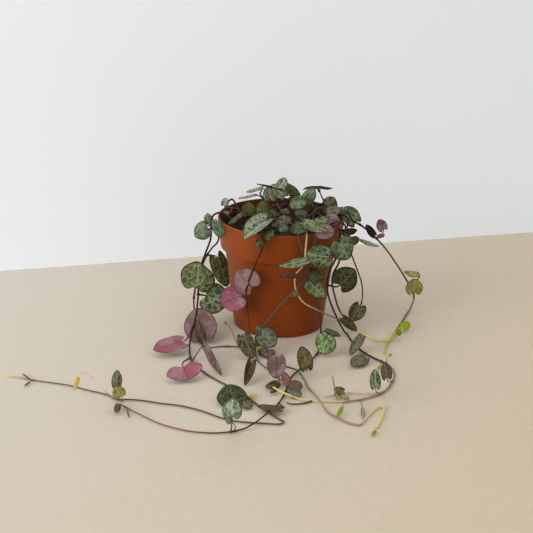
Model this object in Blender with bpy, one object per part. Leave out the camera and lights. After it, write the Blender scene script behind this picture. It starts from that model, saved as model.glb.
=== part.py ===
"""A potted string of hearts: a plastic nursery pot, its soil, and leafy stems that trail over the rim.

Written in millimetres and built in metres, +Z up, with the origin at the middle of the pot's underside.
The pot and its soil are turned profiles. Each stem follows a smooth curve through a few points, and its
leaves stand beside it on stalks. The plant was measured through a camera, so most points are sightings:
the pixel of a 533 x 533 picture where the stem or leaf shows, with its depth or its height in millimetres.
"""

import itertools
import math
from typing import NamedTuple

import bmesh
import bpy
import numpy as np

MM = 0.001

# The pot
RIM_RADIUS = 32.5
POT_HEIGHT = 58.5
BASE_RADIUS = 23.4
COLLAR_HEIGHT = 42.7
NECK_RADIUS = 28.6
COLLAR_RADIUS = 30.9
WALL = 0.9
POT_SIDES = 48
BASE_BEVEL = 0.5
EDGE_BEVEL = 0.4
RIM_BEVEL = (0.3, 0.2)
STEP_DROP = 0.2
SLOT_PAIRS = 4
SLOT_TURNS = (-120.0, -86.0)
SLOT_WIDTH = 2.6
SLOT_HEIGHT = 1.1
SLOT_DEPTH = 2.4
CUTTER_EXCESS = 1.0

# The soil
SOIL_TOP = 50.0
SOIL_MOUND = 1.0
SOIL_SIDES = 24
SOIL_SHARES = (0.86, 0.55, 0.25)
SOIL_STEP = (-0.2, 0.1)
SOIL_ROUGHNESS = 0.35
SOIL_SEED = 5
HOLE_BOTTOM = 44.0
HOLE_TOP = 55.0
HOLE_SIDES = 8
CLEAR = 0.35

# Stems, stalks and leaves
STEM_RADIUS = 0.6
STEM_TIP_RADIUS = 0.42
STEM_SIDES = 5
STALK_RADIUS = 0.42
STALK_SIDES = 3
STALK_PIECES = 3
STALK_LEAD = 0.35
STALK_BEND = (0.4, 4.0)
STALK_REACH = (0.3, 1.6)
TWIG_SIDES = 4
FOOT_RUN = (-1.0, 1.5)
STEEP = 0.8
LEVEL_AID = (0.3, 0.2, 1.0)
STEEP_AID = (1.0, 0.2, 0.3)
TABLE_GAP = 0.2
LAID_HEIGHT = STEM_RADIUS + TABLE_GAP
OVER = LAID_HEIGHT + 2 * STEM_RADIUS + 0.4
BLADE_THICKNESS = 0.8
BLADE_CUP = 0.09
BLADE_END_CUP = 0.5
BLADE_MIDDLE = 0.35
ROUTE_STEP = 0.5
ROUTE_SLACK = 0.2
LARGE_BLADE = 5.0
LARGE_TURNS = (0.0, 0.45, 1.05, 1.75, 2.5, math.pi)
SMALL_TURNS = (0.0, 0.9, 2.0, math.pi)

# The blade's outline, in half widths: how long it is for its width, how deep its notch is and how far its
# tip stands out, with the turn that the notch and the tip each take up
BLADE_LENGTH = 0.94
NOTCH_DEPTH = 0.45
NOTCH_TURN = 0.38
TIP_REACH = 0.1
TIP_TURN = 0.4

# The finishes: a linear colour and a roughness
PLASTIC_FINISH = ((0.52, 0.20, 0.09), 0.42)
PEAT_FINISH = ((0.03, 0.02, 0.015), 0.95)
FOLIAGE_FINISH = ((0.16, 0.21, 0.13), 0.4)

# The camera that the sightings were taken through
PICTURE_SIDE = 533.0
FOCAL_PIXELS = 1511.4
CAMERA_PITCH = math.radians(19.73)
CAMERA_ROLL = math.radians(1.46)
CAMERA_DISTANCE = 790.9
CAMERA_AIM = np.array([0.0, 0.0, 30.0])
CAMERA_SHIFT = (6.91, -0.82)

FORWARD = np.array([0.0, math.cos(CAMERA_PITCH), -math.sin(CAMERA_PITCH)])
LEVEL_RIGHT = np.array([1.0, 0.0, 0.0])
LEVEL_UP = np.cross(LEVEL_RIGHT, FORWARD)
RIGHT = math.cos(CAMERA_ROLL) * LEVEL_RIGHT + math.sin(CAMERA_ROLL) * LEVEL_UP
UP = math.cos(CAMERA_ROLL) * LEVEL_UP - math.sin(CAMERA_ROLL) * LEVEL_RIGHT
EYE = CAMERA_AIM - FORWARD * CAMERA_DISTANCE - RIGHT * CAMERA_SHIFT[0] - UP * CAMERA_SHIFT[1]


def sight_line(u, v):
    """The direction from the camera through pixel (u, v)."""
    middle = PICTURE_SIDE / 2
    return FORWARD * FOCAL_PIXELS + RIGHT * (u - middle) - UP * (v - middle)


def seen(u, v, y):
    """The point seen at pixel (u, v) that lies y behind the pot's axis, or in front where y is negative."""
    line = sight_line(u, v)
    return EYE + line * ((y - EYE[1]) / line[1])


def laid(u, v, z=LAID_HEIGHT):
    """The point seen at pixel (u, v) that lies z above the table."""
    line = sight_line(u, v)
    return EYE + line * ((z - EYE[2]) / line[2])


def at(x, y, z):
    """A point given by its place, for what the picture doesn't show."""
    return np.array([x, y, z], float)


class Leaf(NamedTuple):
    """A leaf. Its stalk leaves the stem nearest to root, or nearest to base where no root is given, and
    meets the blade at base. Face is the way its upper side looks, in degrees: round from the viewer
    towards the right, and up. Fold is how far its two halves rise from the midrib for their width."""

    base: np.ndarray
    tip: np.ndarray
    width: float
    face: tuple
    root: np.ndarray = None
    fold: float = 0.0


class Stem(NamedTuple):
    """A leafy stem: its name, the foot where it leaves the soil, its route, its leaves and its twigs."""

    name: str
    foot: tuple
    route: list
    leaves: list
    twigs: tuple = ()


LEFT_STRAND = Stem(
    "left_strand",
    (-21, -6),
    [
        at(-25, -4, 57), at(-31, -2.5, 60.4), at(-35, -2, 58.6), seen(211.5, 226, -3), seen(210.5, 239, -4),
        seen(205, 254.4, -6), seen(201, 266, -7), seen(198.3, 291, -10.5), seen(197.8, 300, -15),
        seen(195.5, 318, -26.5), seen(192.5, 330, -34), seen(190.3, 340, -39.5), laid(189.5, 350),
        laid(192, 361),
        laid(203.3, 371.7), laid(216.7, 380), laid(231, 387.5), laid(247, 397), laid(266, 411),
        laid(280, 419.5), laid(284, 422), laid(280, 424), laid(266, 423.5), laid(250, 422.5),
        laid(236.7, 421.3), laid(221.7, 418), laid(200, 410.4), laid(178.3, 405.4), laid(160, 403.3),
        laid(145, 400.8), laid(130, 399.5), laid(118, 399.5), laid(106, 394.5), laid(85, 389.5),
        laid(70, 385.5), laid(50, 382.5), laid(33, 380), laid(20, 377.5), laid(7.5, 375.5),
    ],
    [
        Leaf(seen(206.5, 227, -5), seen(195, 237, -6), 10.2, (-20, 30), seen(211.5, 224, -3)),
        Leaf(seen(208.7, 223.5, -2), seen(207.5, 213, -1), 5.2, (-30, 40), seen(211.5, 225, -3)),
        Leaf(seen(217, 221.5, -14), seen(220.8, 238, -20), 6.8, (15, 30), seen(211.5, 228, -3)),
        Leaf(seen(206, 296, -8), seen(227.5, 304, -11), 16.6, (10, 15), seen(198, 294, -12)),
        Leaf(laid(202.5, 336, 3.4), seen(197, 308.5, -15), 17.0, (180, -30), seen(193.2, 327, -32)),
        Leaf(laid(181.5, 342.5, 5.5), laid(153.5, 350.5, 3.6), 11.8, (180, -72), seen(194, 325, -31)),
        Leaf(laid(183, 367, 6.0), laid(188.5, 380, 2.0), 18.0, (180, -62), laid(191, 357)),
        Leaf(laid(205, 346, 6.0), laid(222.5, 375.2, 1.5), 6.2, (115, -10), laid(192, 361)),
        Leaf(laid(234, 402, 2.6), laid(229, 384, 7.5), 14.5, (0, 65), laid(237, 391)),
        Leaf(laid(243, 403.5, 2.4), laid(253.5, 405, 1.8), 6.0, (0, 75), laid(249, 398.5)),
        Leaf(laid(250, 396.5, 1.6), laid(257, 394.5, 2.2), 2.2, (0, 60), laid(246.5, 397)),
        Leaf(seen(116.5, 386, -117), seen(117.2, 369.8, -113), 4.9, (10, 40), laid(118.5, 399.5)),
        Leaf(seen(121, 396, -127), seen(115, 387, -127), 6.0, (-10, 40), laid(122, 399.5)),
        Leaf(seen(78, 379, -118), seen(73.8, 391, -118), 2.0, (0, 20)),
        Leaf(laid(29, 378.5, 1.2), laid(22, 373.2, 1.2), 1.0, (0, 60), laid(33, 379.8)),
        Leaf(laid(29, 382.5, 1.2), laid(24.3, 386, 1.2), 1.2, (0, 60), laid(33, 379.8)),
    ],
    (
        [
            laid(117, 399), seen(106, 392, -122), seen(93, 378, -118), seen(85, 373, -117),
            seen(80, 373, -117), seen(77.5, 377, -118),
        ],
    ),
)

BACK_LEFT_STRAND = Stem(
    "back_left_strand",
    (-20, 11),
    [
        at(-23, 17, 57), at(-26, 21.5, 60.3), at(-28.5, 24, 57.5), at(-32, 20, 49), seen(218, 241, 14),
        seen(212, 248, 9), seen(206, 257, 4), seen(199, 275, 1), seen(194.5, 291, -1),
        seen(194, 306, -1), seen(195.5, 316, -1), laid(197.5, 328), laid(199.5, 338), laid(203, 345),
        laid(210.5, 347.3), laid(223, 346.3), laid(238, 347), laid(247, 350.5),
    ],
    [
        Leaf(seen(195.5, 287.2, -14.5), seen(198, 262.3, -17), 18.8, (-12, 14), seen(194, 297, -1)),
        Leaf(seen(217, 258, 8), seen(228, 287, 15), 10.0, (22, 5), seen(207, 255, 5)),
        Leaf(laid(202, 340, 3.5), seen(196.5, 320, -34), 5.2, (-20, 30), laid(203, 345)),
        Leaf(seen(243.5, 336.5, -50), laid(252.8, 358.5, 1.8), 8.2, (0, 35), laid(242, 348.5)),
        Leaf(seen(226.2, 324, -36), seen(225, 321.5, -36), 1.2, (0, 30), seen(227, 325, -36.2)),
    ],
    ([laid(238.5, 347.1), seen(235, 338.5, -38), seen(231, 329.5, -37), seen(226, 322.5, -36)],),
)

FRONT_LEFT_STRAND = Stem(
    "front_left_strand",
    (-12, -17),
    [
        at(-11, -23, 57), at(-9.8, -30, 60.3), at(-9.6, -34, 58.4), seen(263.5, 243, -34.5),
        seen(255, 265, -33), seen(249, 280, -31.5), seen(246.5, 290, -31), seen(247, 305, -30),
        seen(248.7, 324.5, -29), seen(249.5, 334, -29), laid(250.5, 344), laid(254.5, 353.5),
        laid(260, 363), laid(268, 369), laid(276, 374.5), laid(280, 380.5),
    ],
    [
        Leaf(seen(266.8, 238, -36), seen(274, 230.5, -36), 4.5, (0, 40), seen(264, 241, -34.5)),
        Leaf(seen(261.7, 241.5, -36.5), seen(255, 246, -36.5), 5.0, (0, 40), seen(264, 240, -34.5)),
        Leaf(seen(252.5, 287, -31.6), seen(237, 270.8, -28.7), 15.6, (163, 0), seen(248, 284, -31.5)),
        Leaf(seen(241, 296, -28.5), seen(220.5, 303.5, -25), 13.2, (172, -14), seen(242, 293.5, -29.5)),
        Leaf(laid(251, 363, 6), laid(245, 385, 1.2), 5.0, (20, 40), laid(258, 360), 0.9),
        Leaf(laid(277.5, 382.5, 2.0), laid(266, 387.5, 1.8), 5.0, (0, 65), laid(279, 378)),
        Leaf(laid(276, 390, 1.8), laid(270, 393, 1.6), 2.2, (0, 70), laid(279.5, 380)),
    ],
    ([seen(248, 282.5, -31.8), seen(244.5, 288.5, -31.4), seen(241.7, 294, -29.8)],),
)

DIAGONAL_STRAND = Stem(
    "diagonal_strand",
    (12, -18),
    [
        at(15, -23, 57), at(17.3, -27.6, 60.4), at(18.2, -29.8, 58.8), seen(314.5, 242, -30.8),
        seen(311.5, 262, -29.8), seen(308, 275, -29.3), seen(300.7, 284.6, -29.3), seen(292.7, 292.6, -29.5),
        seen(279, 307.5, -29.5), seen(266, 322.5, -30), seen(256.5, 335, -31.5), laid(257, 346.5),
        laid(261, 354.5), laid(272, 360), laid(283, 365.5), laid(291, 368, OVER), laid(298, 371, OVER),
        laid(303, 378), laid(308, 387), laid(317, 397, 1.6), laid(321, 402.5, OVER), laid(325, 408.5, 1.2),
        laid(329, 413), laid(338.5, 418.5), laid(349, 423), laid(359, 425), laid(364, 421),
        laid(369, 415.4), laid(378.5, 407.5), laid(383.5, 406.5), laid(384, 411.5), laid(380.8, 420),
        laid(377, 427),
    ],
    [
        Leaf(seen(308, 281, -35), seen(325.3, 298, -33), 8.6, (5, 25), seen(305, 278.5, -31)),
        Leaf(seen(260.8, 334, -46), seen(276, 345.5, -49), 10.6, (10, 30), laid(259, 350)),
        Leaf(seen(261, 331.5, -44), seen(256, 325.7, -44), 3.8, (0, 40), laid(258, 348.5)),
        Leaf(laid(262, 351.5, 2.8), laid(267, 347, 3.4), 4.0, (0, 50), laid(260.5, 353.5)),
        Leaf(laid(268.5, 354.5, 2.8), laid(274.5, 350, 4.2), 4.5, (0, 50), laid(268, 358)),
        Leaf(seen(277, 358, -76), seen(276, 379, -88), 9.2, (180, -50), laid(276, 362)),
        Leaf(laid(375, 431, 1.4), laid(371.8, 435.5, 1.3), 1.7, (0, 70)),
        Leaf(laid(256, 350.5, 2.6), laid(259.3, 346, 4.0), 1.8, (0, 50), laid(257.5, 349)),
    ],
)

FRONT_STRAND = Stem(
    "front_strand",
    (3, -20),
    [
        at(6, -26, 57.5), at(8, -31, 60.4), at(8.6, -34.3, 58.6), seen(301, 246, -34.5),
        seen(304.3, 257, -33.5), seen(310, 276, -32), seen(316, 297.7, -28.5), seen(319, 309, -25.5),
        seen(320.6, 322, -22.5), laid(321, 334.5), laid(321.5, 343), laid(319, 351), laid(312.5, 358.5),
        laid(304, 365.5), laid(298, 370.5), laid(291, 377.5), laid(287.5, 387), laid(283.5, 396),
        laid(277.5, 404.5, 1.6), laid(270, 411, OVER), laid(262, 417.5, OVER), laid(253, 424, OVER),
        laid(243, 429), laid(232, 431.5), laid(215, 433), laid(203, 432.5), laid(190, 431.3),
        laid(178, 428.8), laid(165, 425.4), laid(155, 421.7), laid(142, 415.5), laid(130, 409.5),
        laid(122.5, 405.5),
    ],
    [
        Leaf(seen(310, 273, -36.5), seen(324.5, 278.5, -36), 9.0, (0, 60), seen(308.5, 270, -32)),
        Leaf(seen(327, 337.5, -47), laid(322, 354.5, 2.0), 11.0, (-10, 40), laid(321, 345)),
        Leaf(seen(306.5, 368, -76), seen(301.3, 346.3, -75), 7.6, (-15, 30), laid(304.5, 365)),
        Leaf(seen(288.3, 385, -103), seen(283.5, 371.5, -98), 4.5, (10, 30), laid(288, 386)),
        Leaf(laid(291.5, 386.5, 2.4), laid(303, 387.5, 2.4), 6.5, (0, 50), laid(288.5, 384)),
        Leaf(laid(292, 393.5, 2.0), laid(302, 395, 1.8), 5.5, (0, 65), laid(285.5, 391.5)),
        Leaf(laid(280.5, 408.5, 3.2), laid(257, 405.5, 2.6), 6.4, (0, 85), laid(278, 404)),
        Leaf(seen(232, 416.5, -167), seen(232.5, 398.2, -162), 8.6, (-10, 35), laid(231, 431.5)),
        Leaf(seen(231, 421.5, -170), seen(226, 418, -169), 3.4, (0, 35), laid(234.5, 431)),
        Leaf(laid(118.3, 404.5, 3.0), laid(116.3, 412.8, 1.6), 3.3, (0, 60)),
        Leaf(laid(127.6, 411.5, 1.2), laid(129.2, 417.5, 1.2), 0.9, (0, 60), laid(127, 408)),
        Leaf(seen(327, 330.5, -41), seen(341, 336, -42.5), 4.2, (0, 65), seen(327, 336, -46)),
    ],
)

PALE_STRAND = Stem(
    "pale_strand",
    (9, -11),
    [
        at(11, -20, 57.5), at(12.2, -30, 60.5), at(12.6, -36, 59.5), seen(305.5, 250, -39.5),
        seen(304.5, 263.3, -39.5), seen(295.9, 274.8, -37), seen(295, 286.3, -34), seen(296.5, 291, -33),
        seen(302.6, 301.6, -32), seen(319.8, 311.1, -29), seen(340.9, 320.7, -21), seen(351, 326, -18),
    ],
    [
        Leaf(seen(307, 260.5, -43), seen(278, 266.5, -44), 9.0, (0, 80), seen(304.5, 262, -39.5)),
        Leaf(seen(301, 275.3, -40), seen(280, 275.8, -40), 6.0, (0, 88), seen(296.5, 274, -36)),
        Leaf(seen(297, 292, -35), seen(293, 297, -35), 3.4, (0, 30)),
        Leaf(seen(343, 318.5, -24), seen(357, 331, -20), 5.0, (-10, 30), seen(338, 319.5, -22)),
    ],
)

RIGHT_STRAND = Stem(
    "right_strand",
    (17, -15),
    [
        at(22, -17, 57), at(26.3, -20, 60.6), at(29.6, -22, 58.8), seen(337, 246, -22),
        seen(335.5, 259, -20.5), seen(330.5, 269, -19.5), seen(327.5, 280, -19), seen(327.2, 288.7, -19),
        seen(329.4, 299.5, -19), seen(338, 320, -18), laid(345, 332.5), laid(352.4, 341.7),
        laid(364, 352.6), laid(376, 359), laid(385, 363), laid(392, 368.5), laid(394.4, 375),
        laid(391.5, 383), laid(386, 390), laid(377, 395), laid(367.7, 398), laid(352.3, 400.8),
        laid(338, 401.5), laid(325, 401.4), laid(306.6, 400.3), laid(297, 398, 1.2),
        laid(290.4, 395.5, 2.2), laid(284, 393, OVER), laid(277, 389.5, 2.6), laid(273, 387, 3.2),
    ],
    [
        Leaf(seen(318.5, 231.5, -32.5), seen(335, 233, -34), 8.6, (175, -42), at(26.3, -20, 60.4)),
        Leaf(seen(340, 241, -27), seen(348.5, 259.5, -26), 14.2, (12, 30), seen(336, 238, -22)),
        Leaf(seen(329.5, 257, -32), seen(306, 254, -36.4), 12.6, (0, 30), seen(336.5, 250, -22)),
        Leaf(seen(340, 285, -22), seen(355, 269.3, -19), 13.5, (10, 12), seen(327.4, 285, -19)),
        Leaf(seen(361, 337, -40), laid(350.3, 354.5, 1.8), 5.4, (-20, 40), laid(355, 344)),
        Leaf(laid(364, 357, 3.4), laid(352, 365.5, 2.2), 8.0, (0, 65), laid(365, 354)),
        Leaf(laid(380, 366, 1.8), laid(377.8, 369.5, 1.8), 1.6, (0, 50), laid(381, 361.5)),
        Leaf(laid(389.5, 355.5, 3.0), laid(391.8, 354, 3.6), 1.3, (0, 40), laid(386, 363.5)),
        Leaf(seen(387, 377.5, -95), seen(384.5, 362.5, -90), 5.5, (-15, 30), laid(392.5, 381)),
        Leaf(seen(375.5, 387, -112), seen(374.8, 369.3, -108), 5.3, (5, 30), laid(380, 393.5)),
        Leaf(laid(343, 391.5, 4.0), laid(333.5, 389, 5.0), 4.4, (0, 50), laid(342, 401)),
        Leaf(laid(341.5, 395.3, 2.4), laid(336.5, 399, 1.6), 2.6, (0, 60), laid(345, 401)),
        Leaf(laid(341.8, 408, 2.4), laid(337, 417.3, 2.7), 2.0, (0, 60), laid(345, 401.3)),
        Leaf(laid(362.5, 409, 1.5), laid(363.5, 417.7, 1.4), 1.8, (0, 60), laid(359.5, 399.8)),
        Leaf(laid(347.5, 399, 1.8), laid(341, 394.5, 3.0), 2.4, (0, 50), laid(349, 401)),
    ],
    (
        [
            laid(385.5, 390.5), laid(373.8, 393.3, 1.0), laid(362, 393, 1.4), laid(350.8, 392.5),
            laid(340, 394, 1.0), laid(324.6, 396.5),
        ],
        [laid(312, 401), laid(305, 403), laid(291.7, 404), laid(286.5, 402.5)],
        [laid(335, 395), seen(334.5, 387, -124), seen(332.3, 376, -122)],
    ),
)

BUDDING_STRAND = Stem(
    "budding_strand",
    (19, -7),
    [
        at(24, -10, 57), at(29.2, -12.6, 60.4), at(32.6, -14, 58.6), seen(342, 244, -15.5),
        seen(339, 262, -15.5), seen(333.5, 273, -14.5), seen(332, 281, -14), seen(334.8, 296.3, -14),
        seen(339.9, 311, -13), seen(346.7, 320, -12), laid(357.6, 330.5), laid(369.6, 337.5),
        laid(379.3, 340.7, 1.2), laid(388, 340.5, OVER), laid(394.5, 334, OVER), laid(399, 329.5, 1.6),
    ],
    [
        Leaf(laid(403, 327.5, 3.0), laid(409.7, 322, 5.0), 5.2, (0, 40), laid(399, 329.5, 1.6)),
        Leaf(laid(398, 334.5, 2.6), laid(400, 329.5, 7), 3.0, (0, 40), laid(397, 331.5, 2)),
    ],
)

RIGHT_BACK_STRAND = Stem(
    "right_back_strand",
    (21, 3),
    [
        at(27, 1.5, 57.5), at(31.6, -1, 60.4), at(34.8, -2.5, 58.4), seen(345, 234, -5),
        seen(348, 246, -6), seen(352, 256, -6), seen(357, 269, -6), seen(361.6, 283, -6),
        seen(362.5, 294, -6), seen(361.6, 303, -7),
    ],
    [
        Leaf(seen(343.5, 232, -11.5), seen(357.3, 230.2, -12), 6.6, (0, 72), seen(345, 232, -5)),
        Leaf(seen(351.5, 242.5, -9), seen(359, 237.5, -9), 4.6, (20, 30), seen(347.5, 243, -6)),
        Leaf(seen(360, 306, -10), seen(351.5, 321, -14), 9.0, (-20, 30)),
        Leaf(seen(362, 240.8, 0), seen(379.2, 246.4, 1), 4.2, (0, 76), seen(347, 240, -6)),
    ],
)

RIGHT_ARC = Stem(
    "right_arc",
    (18, 11),
    [
        at(25, 11, 57.5), at(31.2, 9, 60.6), at(34.5, 7.5, 59.6), seen(353, 221, 6), seen(359, 224, 5.5),
        seen(366, 229, 5.5), seen(376, 238, 6.5), seen(385.7, 248.8, 8), seen(396.4, 263.9, 11),
        seen(407, 281, 15), seen(413, 292, 17), seen(413.5, 300, 18.5), laid(409, 311), laid(403, 320),
        laid(395.5, 331), laid(388.5, 341), laid(385.5, 348), laid(385, 354),
    ],
    [
        Leaf(seen(355.6, 222, 7), seen(344.9, 206.6, 8), 9.8, (10, 40), seen(360, 224.5, 5.5)),
        Leaf(seen(374.3, 235.3, 2), seen(366, 224.8, 2), 4.3, (0, 40), seen(376, 238, 6.5)),
        Leaf(seen(383.3, 229.3, 5), seen(378.8, 219.3, 5), 5.9, (190, -10), seen(377, 238.6, 6.6)),
        Leaf(seen(378.5, 236.5, 4), seen(385, 235, 4), 3.0, (0, 60), seen(376, 238, 6.5)),
        Leaf(seen(417.5, 273.5, 14), seen(403.8, 271.5, 14), 8.2, (0, 86), seen(411, 288, 16.3)),
        Leaf(seen(414.3, 292.6, 12), seen(414.1, 278.7, 12), 9.3, (0, 20), seen(413.8, 297, 18)),
    ],
)

LEFT_SHOOT = Stem(
    "left_shoot",
    (-15, 4),
    [at(-16, 4, 54), seen(248, 214, 4), seen(241, 210, 5), seen(234, 208, 6), seen(229, 208, 6)],
    [
        Leaf(seen(224.3, 205.3, 6), seen(226.3, 197.8, 6), 4.2, (0, 40), seen(229, 208, 6), 0.3),
        Leaf(seen(229, 213.3, 3), seen(223.5, 211.5, 3), 3.0, (0, 60), seen(232, 208.5, 6)),
        Leaf(seen(241, 214.5, -9), seen(227, 225.5, -9), 5.2, (-40, 70), seen(247, 214, 4)),
        Leaf(seen(248.5, 215.3, 1), seen(248.5, 201.8, 3), 7.9, (-10, 40), seen(245, 212, 4.5)),
        Leaf(seen(259.5, 209, 3), seen(258, 206.3, 3), 1.8, (0, 40), seen(248, 214, 4)),
    ],
)

BACK_LEFT_SHOOT = Stem(
    "back_left_shoot",
    (-9, 13),
    [at(-9.5, 13.5, 56), seen(263, 199, 14), seen(260, 193.5, 15)],
    [
        Leaf(seen(254.5, 194.8, 13), seen(238, 198.3, 12), 6.4, (180, 86), seen(262, 197.5, 14)),
        Leaf(seen(262, 187.8, 16), seen(245.8, 192, 17), 6.0, (0, 85)),
        Leaf(seen(270.5, 200, 13), seen(269, 185.2, 15), 7.4, (0, 40), seen(262.5, 198, 14)),
    ],
)

BACK_SHOOT = Stem(
    "back_shoot",
    (-2, 7),
    [at(-2, 7.5, 56), seen(278.5, 202, 9), seen(277, 196, 9), seen(276.5, 191.5, 9)],
    [
        Leaf(seen(280, 189.2, 9), seen(256, 183.4, 9), 8.5, (180, 76)),
        Leaf(seen(279.5, 189, 7), seen(285.3, 177.6, 7), 5.9, (5, 30), seen(277, 197, 9)),
        Leaf(seen(286, 186.5, 12), seen(300.8, 194.3, 13), 7.5, (5, 62), seen(277.5, 194, 9)),
        Leaf(seen(287.5, 203.5, 8), seen(279.5, 198.5, 9), 4.6, (0, 50), seen(278.5, 202, 9)),
        Leaf(seen(281, 207, 5), seen(288.5, 198.5, 7), 4.4, (20, 40), seen(278.5, 202, 9)),
        Leaf(seen(291.5, 196, 12), seen(299, 199.5, 10), 6.0, (10, 50), seen(278, 199, 9)),
        Leaf(seen(284, 195.5, 7), seen(271.5, 184.8, 7), 6.6, (-15, 35), seen(277.5, 195, 9)),
    ],
)

BACK_RIGHT_SHOOT = Stem(
    "back_right_shoot",
    (13, 13),
    [at(14, 13, 56), seen(323.5, 202, 12), seen(321.5, 196, 12), seen(319, 190.5, 11)],
    [
        Leaf(seen(317.8, 188.3, 10), seen(315.7, 185.7, 22), 16.0, (-10, 84), seen(319.5, 191, 11)),
        Leaf(seen(327.7, 206, 5), seen(334.7, 197.5, 6), 8.0, (10, 50), seen(320, 201, 12)),
        Leaf(seen(305, 202, 4), seen(314.5, 187.8, 7), 7.0, (10, 40), seen(319.5, 202, 12)),
        Leaf(seen(302, 199.5, 0.4), seen(290.5, 208, -3.6), 8.0, (-15, 38), seen(318, 204, 11)),
        Leaf(seen(311.5, 204.5, 6), seen(310.5, 202.3, 6), 1.8, (0, 40), seen(319.5, 203, 12)),
    ],
)

MIDDLE_SHOOT = Stem(
    "middle_shoot",
    (-6, -3),
    [at(-6, -3, 54), seen(272, 211, -2), seen(273.5, 206, -1), seen(278, 204, -2)],
    [
        Leaf(seen(264, 214.3, -1), seen(262.7, 200.2, 2), 8.0, (-5, 40), seen(271.5, 212, -2)),
        Leaf(seen(268, 218, -8), seen(267, 211.5, -7), 6.0, (0, 40), seen(271, 213.5, -2)),
        Leaf(seen(285, 213, -7), seen(286, 208, -5), 5.4, (0, 40), seen(277, 204.5, -2)),
        Leaf(seen(284.5, 223.5, -14), seen(283.5, 215, -12), 7.5, (0, 40), seen(271, 214, -2.5)),
        Leaf(seen(277, 208, 0), seen(288, 202.5, 2), 3.4, (0, 60), seen(274, 206, -1)),
        Leaf(seen(277, 217, -5), seen(270.5, 210, -4), 5.0, (-10, 40), seen(271.5, 212, -2)),
    ],
    ([seen(274.5, 205.2, -1.3), seen(269.5, 209.5, -1.5), seen(263, 216, -4)],),
)

RIGHT_SHOOT = Stem(
    "right_shoot",
    (13, 0),
    [at(13.5, -1, 55), seen(313, 214, -4), seen(316, 209, -3), seen(321, 207.5, -3)],
    [
        Leaf(seen(327, 213, -2), seen(341, 209, -2), 7.0, (0, 50), seen(321, 207.5, -3)),
        Leaf(seen(328, 219, -4), seen(340.3, 222, -6), 6.6, (170, -30), seen(315, 211, -3.5)),
        Leaf(seen(305.5, 216, -6), seen(294.5, 212, -6), 7.0, (0, 50), seen(313, 213, -4)),
        Leaf(seen(304.5, 222.3, -34), seen(327.8, 231.8, -40), 6.8, (0, 60), seen(305, 217, -4)),
        Leaf(seen(316.5, 222.5, -13), seen(328.5, 218.3, -12), 5.6, (0, 40), seen(313.5, 213, -4)),
        Leaf(seen(309, 213.5, 4), seen(300.5, 208.5, 5), 4.8, (0, 50), seen(313, 212, -4)),
        Leaf(seen(312, 214.5, 1), seen(322.5, 206.5, 4), 5.6, (10, 45), seen(314, 212, -3.7)),
        Leaf(seen(339, 211.8, 3), seen(344.3, 207.3, 4), 3.6, (0, 45), seen(321, 207.5, -3)),
    ],
)

FRONT_SHOOT = Stem(
    "front_shoot",
    (-4, -14),
    [at(-4, -15, 56), seen(276, 220.5, -19), seen(281, 219, -22), seen(287, 222, -25)],
    [
        Leaf(seen(267, 221, -31), seen(243, 239.5, -38), 10.4, (-12, 62), seen(276, 220.5, -19), 0.8),
        Leaf(seen(286, 226.5, -31), seen(279, 231, -33), 4.4, (0, 45), seen(287, 222, -25)),
        Leaf(seen(278.5, 223.5, -25), seen(272, 225.5, -26), 4.4, (0, 50), seen(280, 219.5, -21.5)),
        Leaf(seen(294, 225, -28), seen(304.5, 232.5, -35), 8.0, (0, 45), seen(286.5, 221.5, -25)),
    ],
)

STEMS = [
    LEFT_STRAND, BACK_LEFT_STRAND, FRONT_LEFT_STRAND, DIAGONAL_STRAND, FRONT_STRAND, PALE_STRAND,
    RIGHT_STRAND, BUDDING_STRAND, RIGHT_BACK_STRAND, RIGHT_ARC, LEFT_SHOOT, BACK_LEFT_SHOOT, BACK_SHOOT,
    BACK_RIGHT_SHOOT, MIDDLE_SHOOT, RIGHT_SHOOT, FRONT_SHOOT,
]


def clear_scene():
    """Removes every object that the scene starts with."""
    for thing in list(bpy.data.objects):
        bpy.data.objects.remove(thing)


def material(name, colour, roughness):
    """A Principled material with one colour."""
    made = bpy.data.materials.new(name)
    made.use_nodes = True
    shader = made.node_tree.nodes["Principled BSDF"]
    shader.inputs["Base Color"].default_value = (*colour, 1.0)
    shader.inputs["Roughness"].default_value = roughness
    shader.inputs["Metallic"].default_value = 0.0
    return made


def new_object(name, points, faces, finish):
    """A mesh object from points in millimetres, with its faces turned outwards."""
    mesh = bpy.data.meshes.new(name)
    mesh.from_pydata([tuple(point * MM) for point in points], [], faces)
    shape = bmesh.new()
    shape.from_mesh(mesh)
    bmesh.ops.recalc_face_normals(shape, faces=shape.faces)
    shape.to_mesh(mesh)
    shape.free()
    mesh.materials.append(finish)
    made = bpy.data.objects.new(name, mesh)
    bpy.context.scene.collection.objects.link(made)
    return made


def ring(radius, height, sides):
    """Points round the axis at one height."""
    turns = np.arange(sides) * 2 * math.pi / sides
    return np.stack([radius * np.cos(turns), radius * np.sin(turns), np.full(sides, height)], axis=1)


def joined_rings(first, sides, count):
    """The faces between count rings of points that follow each other, starting at point first."""
    faces = []
    for row in range(count - 1):
        for side in range(sides):
            here = first + row * sides
            after = (side + 1) % sides
            faces.append((here + side, here + after, here + sides + after, here + sides + side))
    return faces


def turned(profile, sides):
    """The points and faces of a profile of (radius, height) turned round the axis, closed by two discs."""
    points = np.concatenate([ring(radius, height, sides) for radius, height in profile])
    last = len(points) - sides
    faces = joined_rings(0, sides, len(profile))
    faces += [tuple(range(sides)), tuple(range(last, last + sides))]
    return points, faces


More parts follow.
